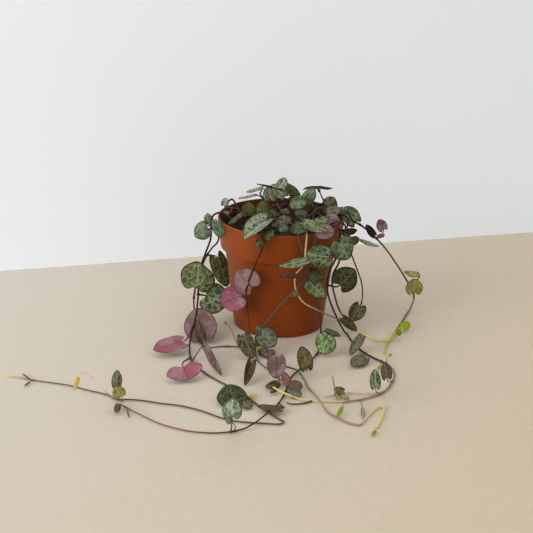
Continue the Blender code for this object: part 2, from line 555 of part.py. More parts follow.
def apply_boolean(thing, others, operation):
    """Joins or cuts the objects of a list with thing, and removes them."""
    helpers = bpy.data.collections.new("helpers")
    bpy.context.scene.collection.children.link(helpers)
    for other in others:
        helpers.objects.link(other)
    boolean = thing.modifiers.new("Boolean", "BOOLEAN")
    boolean.operation = operation
    boolean.solver = "MANIFOLD" if operation == "UNION" else "EXACT"
    boolean.operand_type = "COLLECTION"
    boolean.collection = helpers
    bpy.context.view_layer.update()
    evaluated = thing.evaluated_get(bpy.context.evaluated_depsgraph_get())
    result = bpy.data.meshes.new_from_object(evaluated)
    thing.modifiers.clear()
    thing.data = result
    for other in others:
        bpy.data.objects.remove(other)
    bpy.data.collections.remove(helpers)


def body_radius(z):
    """The radius of the pot's tapering body, outside, at height z."""
    return BASE_RADIUS + (NECK_RADIUS - BASE_RADIUS) * z / COLLAR_HEIGHT


def collar_radius(z):
    """The radius of the pot's collar, outside, at height z."""
    return COLLAR_RADIUS + (RIM_RADIUS - COLLAR_RADIUS) * (z - COLLAR_HEIGHT) / (POT_HEIGHT - COLLAR_HEIGHT)


def build_pot(finish):
    """The pot: a tapering body, a wider collar, a plain rim and drain slots along the bottom edge."""
    step = COLLAR_HEIGHT + WALL
    lip = POT_HEIGHT - EDGE_BEVEL
    profile = [
        (BASE_RADIUS - BASE_BEVEL, 0.0),
        (BASE_RADIUS, BASE_BEVEL),
        (NECK_RADIUS, COLLAR_HEIGHT),
        (COLLAR_RADIUS - EDGE_BEVEL, COLLAR_HEIGHT),
        (COLLAR_RADIUS, COLLAR_HEIGHT + EDGE_BEVEL),
        (RIM_RADIUS, lip),
        (RIM_RADIUS - RIM_BEVEL[0], POT_HEIGHT),
        (RIM_RADIUS - WALL + RIM_BEVEL[1], POT_HEIGHT),
        (collar_radius(lip) - WALL, lip),
        (collar_radius(step) - WALL, step),
        (body_radius(step) - WALL, step - STEP_DROP),
        (body_radius(WALL) - WALL, WALL),
    ]
    pot = new_object("pot", *turned(profile, POT_SIDES), finish)
    cutters = []
    reaches = (-SLOT_DEPTH, CUTTER_EXCESS, CUTTER_EXCESS, -SLOT_DEPTH)
    for number, (pair, start) in enumerate(itertools.product(range(SLOT_PAIRS), SLOT_TURNS)):
        turn = math.radians(start + pair * 360 / SLOT_PAIRS)
        outward = at(math.cos(turn), math.sin(turn), 0)
        across = at(-math.sin(turn), math.cos(turn), 0)
        corners = [
            outward * (BASE_RADIUS + reach) + across * SLOT_WIDTH / 2 * side + at(0, 0, height)
            for height in (-CUTTER_EXCESS, SLOT_HEIGHT)
            for reach, side in zip(reaches, (-1, -1, 1, 1))
        ]
        faces = joined_rings(0, 4, 2) + [(0, 1, 2, 3), (4, 5, 6, 7)]
        cutters.append(new_object(f"slot_{number}", corners, faces, finish))
    apply_boolean(pot, cutters, "DIFFERENCE")


def build_soil(finish):
    """The soil: it fills the pot to a rough, slightly mounded top, with a plain hole for each stem."""
    gap = WALL + CLEAR
    step = COLLAR_HEIGHT + WALL + CLEAR
    edge = collar_radius(SOIL_TOP) - gap
    profile = [
        (body_radius(WALL) - gap, WALL + CLEAR),
        (body_radius(step) - gap, step + SOIL_STEP[0]),
        (collar_radius(step) - gap, step + SOIL_STEP[1]),
        (edge, SOIL_TOP),
    ]
    profile += [(edge * share, SOIL_TOP + SOIL_MOUND * (1 - share**2)) for share in SOIL_SHARES]
    points, faces = turned(profile, SOIL_SIDES)
    rough = np.random.default_rng(SOIL_SEED)
    count = SOIL_SIDES * len(SOIL_SHARES)
    points[-count:, 2] += rough.uniform(-SOIL_ROUGHNESS, SOIL_ROUGHNESS, count)
    crown = len(points) - SOIL_SIDES
    faces = faces[:-1]
    faces += [
        (crown + side, crown + (side + 1) % SOIL_SIDES, len(points)) for side in range(SOIL_SIDES)
    ]
    points = np.concatenate([points, [[0.0, 0.0, SOIL_TOP + SOIL_MOUND]]])
    soil = new_object("soil", points, faces, finish)
    holes = []
    for stem in STEMS:
        profile = [(STEM_RADIUS + CLEAR, HOLE_BOTTOM), (STEM_RADIUS + CLEAR, HOLE_TOP)]
        hole_points, hole_faces = turned(profile, HOLE_SIDES)
        hole_points += np.array([*stem.foot, 0.0])
        holes.append(new_object(f"hole_{stem.name}", hole_points, hole_faces, finish))
    apply_boolean(soil, holes, "DIFFERENCE")


def smooth_route(points):
    """A centripetal Catmull-Rom curve through the points, read every ROUTE_STEP and kept on the table."""
    points = np.array(points)
    ends = np.concatenate([[2 * points[0] - points[1]], points, [2 * points[-1] - points[-2]]])
    route = []
    for p0, p1, p2, p3 in zip(ends[:-3], ends[1:-2], ends[2:-1], ends[3:]):
        t1 = np.linalg.norm(p1 - p0) ** 0.5
        t2 = t1 + np.linalg.norm(p2 - p1) ** 0.5
        t3 = t2 + np.linalg.norm(p3 - p2) ** 0.5
        count = max(2, math.ceil(np.linalg.norm(p2 - p1) / ROUTE_STEP))
        t = np.linspace(t1, t2, count, endpoint=False)[:, None]
        a1 = p0 + (p1 - p0) * t / t1
        a2 = p1 + (p2 - p1) * (t - t1) / (t2 - t1)
        a3 = p2 + (p3 - p2) * (t - t2) / (t3 - t2)
        b1 = a1 + (a2 - a1) * t / t2
        b2 = a2 + (a3 - a2) * (t - t1) / (t3 - t1)
        route.append(b1 + (b2 - b1) * (t - t1) / (t2 - t1))
    route = np.concatenate([*route, points[-1:]])
    route[:, 2] = np.maximum(route[:, 2], LAID_HEIGHT)
    return route


def thinned(route):
    """The route with the points left out that its straight runs don't need."""
    kept = [0]
    while kept[-1] < len(route) - 1:
        start = kept[-1]
        end = start + 1
        while end < len(route) - 1:
            chord = route[end + 1] - route[start]
            chord = chord / np.linalg.norm(chord)
            between = route[start + 1 : end + 1] - route[start]
            apart = between - np.outer(between @ chord, chord)
            if np.linalg.norm(apart, axis=1).max() > ROUTE_SLACK:
                break
            end += 1
        kept.append(end)
    return route[kept]


def tube(name, route, start_radius, end_radius, sides, finish):
    """A tube of one number of sides along a route, with flat ends and no twist."""
    along = np.gradient(route, axis=0)
    along /= np.linalg.norm(along, axis=1)[:, None]
    side = np.cross(along[0], LEVEL_AID if abs(along[0][2]) < STEEP else STEEP_AID)
    turns = np.arange(sides) * 2 * math.pi / sides
    rings = []
    for share, point, forward in zip(np.linspace(0, 1, len(route)), route, along):
        side = side - forward * (side @ forward)
        side /= np.linalg.norm(side)
        radius = start_radius + (end_radius - start_radius) * share
        other = np.cross(forward, side)
        rings.append(point + radius * (np.outer(np.cos(turns), side) + np.outer(np.sin(turns), other)))
    points = np.concatenate(rings)
    last = len(points) - sides
    faces = joined_rings(0, sides, len(route))
    faces += [tuple(range(sides)), tuple(range(last, last + sides))]
    return new_object(name, points, faces, finish)


def heart(turn):
    """The outline at a turn round it, from the notch at 0 to the tip at pi: the share of the half width
    across, and the share of the way from the notch to the tip. It is round, with a notch and a point."""
    turn = np.asarray(turn)
    across = np.sin(turn)
    round_leaf = -BLADE_LENGTH * np.cos(turn)
    notch = NOTCH_DEPTH * np.exp(-((turn / NOTCH_TURN) ** 2))
    tip = TIP_REACH * np.exp(-(((math.pi - np.abs(turn)) / TIP_TURN) ** 2))
    whole = 2 * BLADE_LENGTH + TIP_REACH - NOTCH_DEPTH
    return across, (round_leaf + notch + tip + BLADE_LENGTH - NOTCH_DEPTH) / whole


def leaf_frame(leaf):
    """The unit vectors along a leaf, across it and out of its upper face, and its length."""
    along = leaf.tip - leaf.base
    length = np.linalg.norm(along)
    along = along / length
    round_way, up_way = np.radians(leaf.face)
    out = np.array(
        [math.sin(round_way) * math.cos(up_way), -math.cos(round_way) * math.cos(up_way), math.sin(up_way)]
    )
    out = out - along * (out @ along)
    out /= np.linalg.norm(out)
    return along, np.cross(along, out), out, length


def blade_points(leaf):
    """The points of a blade of even thickness, cupped a little: its upper rim, its lower rim, and the
    middles of its upper and its lower face."""
    along, across, out, length = leaf_frame(leaf)
    half_turns = LARGE_TURNS if leaf.width >= LARGE_BLADE else SMALL_TURNS
    turns = np.array(half_turns + tuple(-turn for turn in half_turns[-2:0:-1]))
    side_share, along_share = heart(turns)
    spread = side_share**2 + BLADE_END_CUP * (along_share - BLADE_MIDDLE) ** 2
    rise = leaf.fold * np.abs(side_share) / 2 - spread * BLADE_CUP
    outline = (
        leaf.base
        + np.outer(side_share * leaf.width / 2, across)
        + np.outer(along_share * length, along)
        + np.outer(rise * leaf.width, out)
    )
    middle = leaf.base + along * length * BLADE_MIDDLE
    half = out * BLADE_THICKNESS / 2
    return np.concatenate([outline + half, outline - half, [middle + half, middle - half]])


def resting(leaf):
    """The leaf, lifted where its blade would lie lower than the table."""
    lift = at(0, 0, max(0.0, TABLE_GAP - blade_points(leaf)[:, 2].min()))
    return leaf._replace(base=leaf.base + lift, tip=leaf.tip + lift)


def blade(name, leaf, finish):
    """A heart-shaped blade, in triangles that are alike on both faces."""
    points = blade_points(leaf)
    count = len(points) // 2 - 1
    faces = []
    for side in range(count):
        after = (side + 1) % count
        faces.append((side, after, 2 * count))
        faces.append((count + after, count + side, 2 * count + 1))
        faces.append((after, side, count + side))
        faces.append((after, count + side, count + after))
    return new_object(name, points, faces, finish)


def stalk_route(leaf, lines):
    """The stalk of a leaf: from the nearest point of the stem, bending into the blade along its length."""
    wanted = leaf.base if leaf.root is None else leaf.root
    start = lines[np.linalg.norm(lines - wanted, axis=1).argmin()]
    along, _, _, length = leaf_frame(leaf)
    reach = np.linalg.norm(leaf.base - start)
    lead_in = start + (leaf.base - start) * STALK_LEAD
    lead_out = leaf.base - along * min(STALK_BEND[0] * reach, STALK_BEND[1])
    t = np.linspace(0, 1, STALK_PIECES)[:, None]
    curve = (
        start * (1 - t) ** 3
        + lead_in * 3 * t * (1 - t) ** 2
        + lead_out * 3 * t**2 * (1 - t)
        + leaf.base * t**3
    )
    inside = leaf.base + along * min(STALK_REACH[0] * length, STALK_REACH[1])
    stalk = np.concatenate([curve, [inside]])
    stalk[:, 2] = np.maximum(stalk[:, 2], STALK_RADIUS + TABLE_GAP)
    return stalk


def build_stem(stem, finish):
    """A leafy stem as one solid: the stem, its twigs, and each leaf's stalk and blade, all joined."""
    foot = [HOLE_BOTTOM + CLEAR, SOIL_TOP + FOOT_RUN[0], SOIL_TOP + FOOT_RUN[1]]
    main = smooth_route([at(*stem.foot, height) for height in foot] + stem.route)
    twigs = [smooth_route(route) for route in stem.twigs]
    lines = np.concatenate([main, *twigs])
    made = tube(stem.name, thinned(main), STEM_RADIUS, STEM_TIP_RADIUS, STEM_SIDES, finish)
    parts = [
        tube(f"twig_{number}", thinned(route), STEM_TIP_RADIUS, STEM_TIP_RADIUS, TWIG_SIDES, finish)
        for number, route in enumerate(twigs)
    ]
    for number, leaf in enumerate(map(resting, stem.leaves)):
        stalk = stalk_route(leaf, lines)
        parts.append(tube(f"stalk_{number}", stalk, STALK_RADIUS, STALK_RADIUS, STALK_SIDES, finish))
        parts.append(blade(f"blade_{number}", leaf, finish))
    apply_boolean(made, parts, "UNION")


def main():
    """Builds the pot, the soil and every leafy stem."""
    clear_scene()
    plastic = material("terracotta_plastic", *PLASTIC_FINISH)
    peat = material("peat", *PEAT_FINISH)
    foliage = material("foliage", *FOLIAGE_FINISH)
    build_pot(plastic)
    build_soil(peat)
    for stem in STEMS:
        build_stem(stem, foliage)


main()
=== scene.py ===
"""The looks of a potted string of hearts: its plastic pot, its peat, and its leafy stems in fine meshes.

Sizes are in millimetres, in the frame's own axes, and go into the meshes in metres. The stems and leaves
stand where the frame has them: most of their points are sightings through the camera of the picture, a
pixel of its 533 x 533 frame with a depth or a height in millimetres.
"""

import logging
import math
from collections.abc import Callable
from dataclasses import dataclass, field
from enum import Enum

import bpy
import numpy as np
from mathutils import Matrix


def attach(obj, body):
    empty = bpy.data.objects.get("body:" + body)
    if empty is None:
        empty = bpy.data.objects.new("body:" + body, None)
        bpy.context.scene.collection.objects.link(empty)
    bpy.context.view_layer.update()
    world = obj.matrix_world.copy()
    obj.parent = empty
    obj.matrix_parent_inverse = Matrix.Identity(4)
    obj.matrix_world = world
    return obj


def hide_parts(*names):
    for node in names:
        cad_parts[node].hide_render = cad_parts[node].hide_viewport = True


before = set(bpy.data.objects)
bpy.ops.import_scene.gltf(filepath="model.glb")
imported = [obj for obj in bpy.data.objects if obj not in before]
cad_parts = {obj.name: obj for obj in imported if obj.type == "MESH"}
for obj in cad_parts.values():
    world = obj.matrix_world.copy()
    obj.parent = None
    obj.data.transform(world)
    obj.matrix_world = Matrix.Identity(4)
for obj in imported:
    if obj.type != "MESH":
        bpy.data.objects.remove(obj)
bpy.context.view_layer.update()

log = logging.getLogger("string_of_hearts")

MM = 0.001
BODY = "root"
Colour = tuple[float, float, float]


def unit(vectors: np.ndarray) -> np.ndarray:
    """Vectors along the last axis, each divided by its length."""
    return vectors / np.linalg.norm(vectors, axis=-1, keepdims=True)


def linear(colour: Colour) -> np.ndarray:
    """A colour given in 0 to 255 as a screen shows it, in the linear values that a shader takes."""
    share = np.array(colour, float) / 255
    return np.where(share <= 0.04045, share / 12.92, ((share + 0.055) / 1.055) ** 2.4)


@dataclass(frozen=True)
class Eye:
    """The camera: where it stands, how it is turned, and the points that its picture's pixels show.

    Lengths are in millimetres and angles in degrees. The aim is the point that the picture's middle
    would show without the shift, which moves the camera to its right and up.
    """

    picture_side: float = 533.0
    focal_pixels: float = 1511.4
    sensor: float = 36.0
    pitch: float = 19.73
    roll: float = 1.46
    distance: float = 790.9
    aim: tuple[float, float, float] = (0.0, 0.0, 30.0)
    shift: tuple[float, float] = (6.91, -0.82)

    def axes(self) -> tuple[np.ndarray, np.ndarray, np.ndarray]:
        """The unit vectors to the camera's right, up in its picture, and forward."""
        pitch, roll = math.radians(self.pitch), math.radians(self.roll)
        forward = np.array([0.0, math.cos(pitch), -math.sin(pitch)])
        level = np.array([1.0, 0.0, 0.0])
        upward = np.cross(level, forward)
        right = math.cos(roll) * level + math.sin(roll) * upward
        return right, math.cos(roll) * upward - math.sin(roll) * level, forward

    def place(self) -> np.ndarray:
        """Where the camera stands: back from its aim along its view, less the shift."""
        right, up, forward = self.axes()
        return np.array(self.aim) - forward * self.distance - right * self.shift[0] - up * self.shift[1]

    def line(self, u: float, v: float) -> np.ndarray:
        """The direction of sight through a pixel, as long as the focal length is in pixels."""
        right, up, forward = self.axes()
        middle = self.picture_side / 2
        return forward * self.focal_pixels + right * (u - middle) - up * (v - middle)

    def seen(self, u: float, v: float, y: float) -> np.ndarray:
        """The point that pixel (u, v) shows, y behind the pot's axis, or before it where y is negative."""
        line, place = self.line(u, v), self.place()
        return place + line * ((y - place[1]) / line[1])

    def laid(self, u: float, v: float, z: float = 0.8) -> np.ndarray:
        """The point that pixel (u, v) shows, at height z above the table."""
        line, place = self.line(u, v), self.place()
        return place + line * ((z - place[2]) / line[2])

    def build(self) -> None:
        """Makes the camera and gives it to the scene."""
        right, up, forward = self.axes()
        lens = bpy.data.cameras.new("camera")
        lens.sensor_width = self.sensor
        lens.lens = self.focal_pixels / self.picture_side * self.sensor
        lens.clip_start = 0.01
        camera = bpy.data.objects.new("camera", lens)
        turn = Matrix(np.stack([right, up, -forward], axis=1).tolist()).to_4x4()
        camera.matrix_world = Matrix.Translation(self.place() * MM) @ turn
        bpy.context.scene.collection.objects.link(camera)
        bpy.context.scene.camera = camera


EYE = Eye()
seen = EYE.seen
laid = EYE.laid


def at(x: float, y: float, z: float) -> np.ndarray:
    """A point given by its place, for what the picture doesn't show."""
    return np.array([x, y, z], float)


class Wire:
    """A node's output, whose operators add the Math nodes of an expression."""

    def __init__(self, tree: "Tree", socket: bpy.types.NodeSocket) -> None:
        """Wraps a socket of a tree."""
        self.tree = tree
        self.socket = socket

    def __add__(self, other: "Wire | float") -> "Wire":
        """This value and another added."""
        return self.tree.maths("ADD", self, other)

    def __radd__(self, other: float) -> "Wire":
        """A number and this value added."""
        return self.tree.maths("ADD", other, self)

    def __sub__(self, other: "Wire | float") -> "Wire":
        """This value less another."""
        return self.tree.maths("SUBTRACT", self, other)

    def __rsub__(self, other: float) -> "Wire":
        """A number less this value."""
        return self.tree.maths("SUBTRACT", other, self)

    def __mul__(self, other: "Wire | float") -> "Wire":
        """This value times another."""
        return self.tree.maths("MULTIPLY", self, other)

    def __rmul__(self, other: float) -> "Wire":
        """A number times this value."""
        return self.tree.maths("MULTIPLY", other, self)

    def __abs__(self) -> "Wire":
        """This value without its sign."""
        return self.tree.maths("ABSOLUTE", self)


class Tree:
    """A material's nodes. It starts empty, and finish puts the shader on its output."""

    def __init__(self, name: str) -> None:
        """Makes the material with no nodes."""
        self.material = bpy.data.materials.new(name)
        self.material.use_nodes = True
        self.nodes = self.material.node_tree.nodes
        self.links = self.material.node_tree.links
        self.nodes.clear()

    def node(self, kind: str, settings: dict | None = None, inputs: dict | None = None) -> bpy.types.Node:
        """Any node.

        Args:
            kind: The node's type.
            settings: Its own settings, set first. A ramp's stops go under the name stops.
            inputs: What each input takes, by its name or number: a Wire, a number or several numbers.

        Returns:
            The node.
        """
        made = self.nodes.new(kind)
        for name, value in (settings or {}).items():
            if name == "stops":
                self.stops(made.color_ramp, value)
            else:
                setattr(made, name, value)
        for name, value in (inputs or {}).items():
            if isinstance(value, Wire):
                self.links.new(value.socket, made.inputs[name])
            else:
                made.inputs[name].default_value = value
        return made

    @staticmethod
    def stops(ramp: bpy.types.ColorRamp, stops: list[tuple[float, Colour]]) -> None:
        """Gives a ramp its stops, each a place and a linear colour."""
        while len(ramp.elements) < len(stops):
            ramp.elements.new(0.5)
        for element, (place, colour) in zip(ramp.elements, stops):
            element.position = place
            element.color = (*colour, 1.0)

    def out(self, node: bpy.types.Node, name: str | int = 0) -> Wire:
        """One output of a node."""
        return Wire(self, node.outputs[name])

    def maths(self, operation: str, *values: "Wire | float") -> Wire:
        """A Math node on one or two values."""
        return self.out(self.node("ShaderNodeMath", {"operation": operation}, dict(enumerate(values))))

    def ease(self, value: Wire, low: float | Wire, high: float | Wire) -> Wire:
        """A value's smooth step: 0 up to low, 1 from high."""
        settings = {"interpolation_type": "SMOOTHSTEP"}
        inputs = {"Value": value, "From Min": low, "From Max": high}
        return self.out(self.node("ShaderNodeMapRange", settings, inputs))

    def mix(self, share: "Wire | float", first: "Wire | np.ndarray", second: "Wire | np.ndarray") -> Wire:
        """Two colours mixed by a share of the second."""
        colours = [value if isinstance(value, Wire) else (*value, 1.0) for value in (first, second)]
        inputs = {"Factor": share, 6: colours[0], 7: colours[1]}
        return self.out(self.node("ShaderNodeMix", {"data_type": "RGBA"}, inputs), 2)

    def shaded(self, colour: Wire, value: "Wire | float") -> Wire:
        """A colour made lighter or darker by a value."""
        inputs = {0: colour, "Scale": value}
        return self.out(self.node("ShaderNodeVectorMath", {"operation": "SCALE"}, inputs))

    def layer(self, name: str, output: str = "Vector") -> Wire:
        """One of the mesh's own layers, as a vector or as a colour."""
        settings = {"attribute_type": "GEOMETRY", "attribute_name": name}
        return self.out(self.node("ShaderNodeAttribute", settings), output)

    def parts(self, vector: Wire) -> tuple[Wire, Wire, Wire]:
        """The three numbers of a vector."""
        node = self.node("ShaderNodeSeparateXYZ", {}, {0: vector})
        return self.out(node, 0), self.out(node, 1), self.out(node, 2)

    def place(self) -> Wire:
        """The point's place in the object, in metres."""
        return self.out(self.node("ShaderNodeTexCoord"), "Object")

    def stretched(self, vector: Wire, scale: Colour) -> Wire:
        """A place scaled on each axis."""
        inputs = {0: vector, 1: scale}
        return self.out(self.node("ShaderNodeVectorMath", {"operation": "MULTIPLY"}, inputs))

    def noise(self, vector: Wire, scale: float, detail: float = 2.0, roughness: float = 0.5) -> Wire:
        """Noise from 0 to 1 at a place, with scale waves to the place's unit."""
        inputs = {"Vector": vector, "Scale": scale, "Detail": detail, "Roughness": roughness}
        return self.out(self.node("ShaderNodeTexNoise", {}, inputs), 0)

    def cells(self, vector: Wire, scale: float) -> Wire:
        """How far a place is from the edge of its cell, in a flat pattern of random cells."""
        settings = {"feature": "DISTANCE_TO_EDGE", "voronoi_dimensions": "2D"}
        inputs = {"Vector": vector, "Scale": scale}
        return self.out(self.node("ShaderNodeTexVoronoi", settings, inputs), "Distance")

    def warped(self, vector: Wire, scale: float, amount: float) -> Wire:
        """A place pushed about by noise."""
        inputs = {"Vector": vector, "Scale": scale, "Detail": 1.0}
        push = self.out(self.node("ShaderNodeTexNoise", {}, inputs), "Color")
        inputs = {0: push, 1: (amount,) * 3, 2: vector}
        return self.out(self.node("ShaderNodeVectorMath", {"operation": "MULTIPLY_ADD"}, inputs))

    def bump(self, height: Wire, distance: float, strength: float = 1.0) -> Wire:
        """The normal of a surface raised by height times distance, in millimetres."""
        inputs = {"Height": height, "Distance": distance * MM, "Strength": strength}
        return self.out(self.node("ShaderNodeBump", {}, inputs))

    def finish(self, **inputs: "Wire | float | tuple") -> bpy.types.Material:
        """A Principled shader with these inputs, its spaces written as underscores, on the output."""
        named = {name.replace("_", " "): value for name, value in inputs.items()}
        shader = self.out(self.node("ShaderNodeBsdfPrincipled", {}, named))
        self.node("ShaderNodeOutputMaterial", {}, {"Surface": shader})
        return self.material


@dataclass
class Shape:
    """A mesh in the making.

    Each row of points is a point in millimetres and, after it, three numbers for each layer.
    """

    points: np.ndarray
    quads: np.ndarray
    fans: np.ndarray
    layers: tuple[str, ...] = ()

    @classmethod
    def closed(cls, rings: np.ndarray, poles: np.ndarray, layers: tuple[str, ...] = ()) -> "Shape":
        """A closed surface: rings of points that follow each other, shut by a pole at each end.

        Its faces are turned outwards: the sum of the volumes between each face and the origin shows
        which way they look.

        Args:
            rings: Rows by columns by numbers, where each row is a ring.
            poles: The first and the last pole.
            layers: The names of the layers that the numbers after the point fill.

        Returns:
            The shape.
        """
        rows, columns = rings.shape[:2]
        points = np.concatenate([rings.reshape(rows * columns, -1), poles])
        here = np.arange(rows * columns).reshape(rows, columns)
        after = np.roll(here, -1, axis=1)
        quads = np.stack([here[:-1], after[:-1], after[1:], here[1:]], axis=-1).reshape(-1, 4)
        first, last = rows * columns, rows * columns + 1
        start = np.stack([after[0], here[0], np.full(columns, first)], axis=-1)
        end = np.stack([here[-1], after[-1], np.full(columns, last)], axis=-1)
        fans = np.concatenate([start, end])
        corners = points[:, :3]
        halves = np.concatenate([fans, quads[:, [0, 1, 2]], quads[:, [0, 2, 3]]])
        if np.einsum("ij,ij->", corners[halves[:, 0]], np.cross(corners[halves[:, 1]], corners[halves[:, 2]])) < 0:
            quads, fans = quads[:, ::-1], fans[:, ::-1]
        return cls(points, quads, fans, layers)

    @classmethod
    def joined(cls, shapes: list["Shape"]) -> "Shape":
        """Several shapes with the same layers as one."""
        starts = np.cumsum([0] + [len(shape.points) for shape in shapes[:-1]])
        return cls(
            np.concatenate([shape.points for shape in shapes]),
            np.concatenate([shape.quads + start for shape, start in zip(shapes, starts)]),
            np.concatenate([shape.fans + start for shape, start in zip(shapes, starts)]),
            shapes[0].layers,
        )

    def mesh(self, name: str) -> bpy.types.Mesh:
        """The shape as a smooth mesh in metres, with each layer as an attribute of its points."""
        made = bpy.data.meshes.new(name)
        made.from_pydata(self.points[:, :3] * MM, [], [*self.quads.tolist(), *self.fans.tolist()])
        for number, layer in enumerate(self.layers, start=1):
            values = self.points[:, 3 * number : 3 * number + 3]
            attribute = made.attributes.new(layer, "FLOAT_VECTOR", "POINT")
            attribute.data.foreach_set("vector", np.ascontiguousarray(values, np.float32).ravel())
        made.shade_smooth()
        return made

    def piece(self, name: str, node: str, slot: str, material: bpy.types.Material) -> bpy.types.Object:
        """The shape as a piece of the part.

        Args:
            name: The piece's name.
            node: The node of the frame that it stands for.
            slot: A material slot's name, which is not used.
            material: Its material.

        Returns:
            The piece, riding on the frame's body.
        """
        made = bpy.data.objects.new(name, self.mesh(name))
        made.data.materials.append(material)
        bpy.context.scene.collection.objects.link(made)
        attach(made, BODY)
        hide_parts(node)
        return made


def filled(rings: np.ndarray, *values: np.ndarray) -> np.ndarray:
    """Rings of points with more numbers after each point, each value spread over the whole grid."""
    spread = [np.broadcast_to(value, (*rings.shape[:-1], np.shape(value)[-1])) for value in values]
    return np.concatenate([rings, *spread], axis=-1)


def rounded(corners: list[tuple[float, float, float]], steps: int = 5) -> np.ndarray:
    """A profile with its corners rounded.

    Each corner is (radius, height, rounding). A rounded corner is a parabola from a point that far
    before the corner to a point that far after it, with the corner as its middle control point.

    Args:
        corners: The corners in order, where the first and the last stay sharp.
        steps: How many points a rounded corner has.

    Returns:
        The profile's points, as rows of radius and height.
    """
    places = np.array([corner[:2] for corner in corners], float)
    runs = [places[:1]]
    t = np.linspace(0, 1, steps)[:, None]
    for before, here, after, corner in zip(places, places[1:], places[2:], corners[1:]):
        start = here + unit(before - here) * corner[2]
        end = here + unit(after - here) * corner[2]
        runs.append(start * (1 - t) ** 2 + here * 2 * t * (1 - t) + end * t**2)
    return np.concatenate([*runs, places[-1:]])


@dataclass
class Pot:
    """The nursery pot: a tapering body under a wider collar, with drain slots along its bottom edge."""

    rim_radius: float = 32.5
    height: float = 58.5
    base_radius: float = 23.4
    collar_height: float = 42.7
    neck_radius: float = 28.6
    collar_radius: float = 30.9
    wall: float = 0.9
    sides: int = 180
    slot_pairs: int = 4
    slot_turns: tuple[float, float] = (-120.0, -86.0)
    slot_size: tuple[float, float, float] = (5.0, 2.6, 1.1)
    sag: float = 0.35

    def body(self, z: float) -> float:
        """The body's outer radius at height z."""
        return self.base_radius + (self.neck_radius - self.base_radius) * z / self.collar_height

    def collar(self, z: float) -> float:
        """The collar's outer radius at height z."""
        share = (z - self.collar_height) / (self.height - self.collar_height)
        return self.collar_radius + (self.rim_radius - self.collar_radius) * share

    def profile(self) -> np.ndarray:
        """The wall's section, from the middle of the underside up the outside, over the rim and down."""
        wall, top, step = self.wall, self.height, self.collar_height + self.wall
        return rounded(
            [
                (self.base_radius * 0.86, 0.5, 0.0),
                (self.base_radius * 0.9, 0.5, 0.15),
                (self.base_radius * 0.93, 0.0, 0.2),
                (self.base_radius, 0.0, 0.5),
                (self.neck_radius, self.collar_height, 0.25),
                (self.collar_radius, self.collar_height, 0.4),
                (self.rim_radius - 0.1, top - 2.2, 0.3),
                (self.rim_radius, top - 2.0, 0.2),
                (self.rim_radius, top, 0.42),
                (self.rim_radius - wall, top, 0.42),
                (self.collar(step) - wall, step, 0.4),
                (self.body(step) - wall, step - 0.3, 0.3),
                (self.body(wall) - wall, wall, 0.8),
                (self.base_radius * 0.5, wall, 0.0),
            ]
        )

    def surface(self) -> Shape:
        """The profile turned round the axis.

        The radius has a slow wave of two lobes round the pot, whose height grows from none at the base
        to the sag at the rim, because a thin plastic wall is never quite round.
        """
        profile = self.profile()
        turns = np.arange(self.sides) * 2 * math.pi / self.sides
        radius, height = profile[:, :1], profile[:, 1:]
        wave = self.sag * (height / self.height) ** 2 * np.cos(2 * turns - 0.9)
        wide = radius + wave
        rings = np.stack([wide * np.cos(turns), wide * np.sin(turns), height + 0 * turns], axis=-1)
        poles = np.array([[0.0, 0.0, profile[0, 1]], [0.0, 0.0, profile[-1, 1]]])
        return Shape.closed(rings, poles)

    def cutter(self, turn: float) -> bpy.types.Object:
        """A block that cuts one drain slot, at a turn round the pot in degrees."""
        depth, width, height = self.slot_size
        outward = np.array([math.cos(math.radians(turn)), math.sin(math.radians(turn)), 0.0])
        across = np.array([-outward[1], outward[0], 0.0])
        sides = np.array([(-depth, -1), (1.0, -1), (1.0, 1), (-depth, 1)])
        flat = np.outer(self.base_radius + sides[:, 0], outward) + np.outer(sides[:, 1] * width / 2, across)
        rings = np.stack([flat + at(0, 0, -1.0), flat + at(0, 0, height)])
        poles = rings.mean(axis=1)
        made = bpy.data.objects.new("slot", Shape.closed(rings, poles).mesh("slot"))
        bpy.context.scene.collection.objects.link(made)
        return made

    def cut(self, pot: bpy.types.Object) -> None:
        """Cuts the drain slots out of the pot, one pair in each quarter."""
        quarter = 360 / self.slot_pairs
        turns = [start + quarter * pair for pair in range(self.slot_pairs) for start in self.slot_turns]
        for turn in turns:
            block = self.cutter(turn)
            boolean = pot.modifiers.new("slot", "BOOLEAN")
            boolean.operation = "DIFFERENCE"
            boolean.solver = "EXACT"
            boolean.object = block
            graph = bpy.context.evaluated_depsgraph_get()
            result = bpy.data.meshes.new_from_object(pot.evaluated_get(graph))
            pot.modifiers.clear()
            pot.data = result
            bpy.data.objects.remove(block)
        pot.data.shade_smooth()
        pot.data.set_sharp_from_angle(angle=math.radians(50))

    def build(self, plastic: bpy.types.Material) -> bpy.types.Object:
        """The pot as a piece."""
        pot = self.surface().piece("pot_shell", "pot", "pot", plastic)
        self.cut(pot)
        return pot


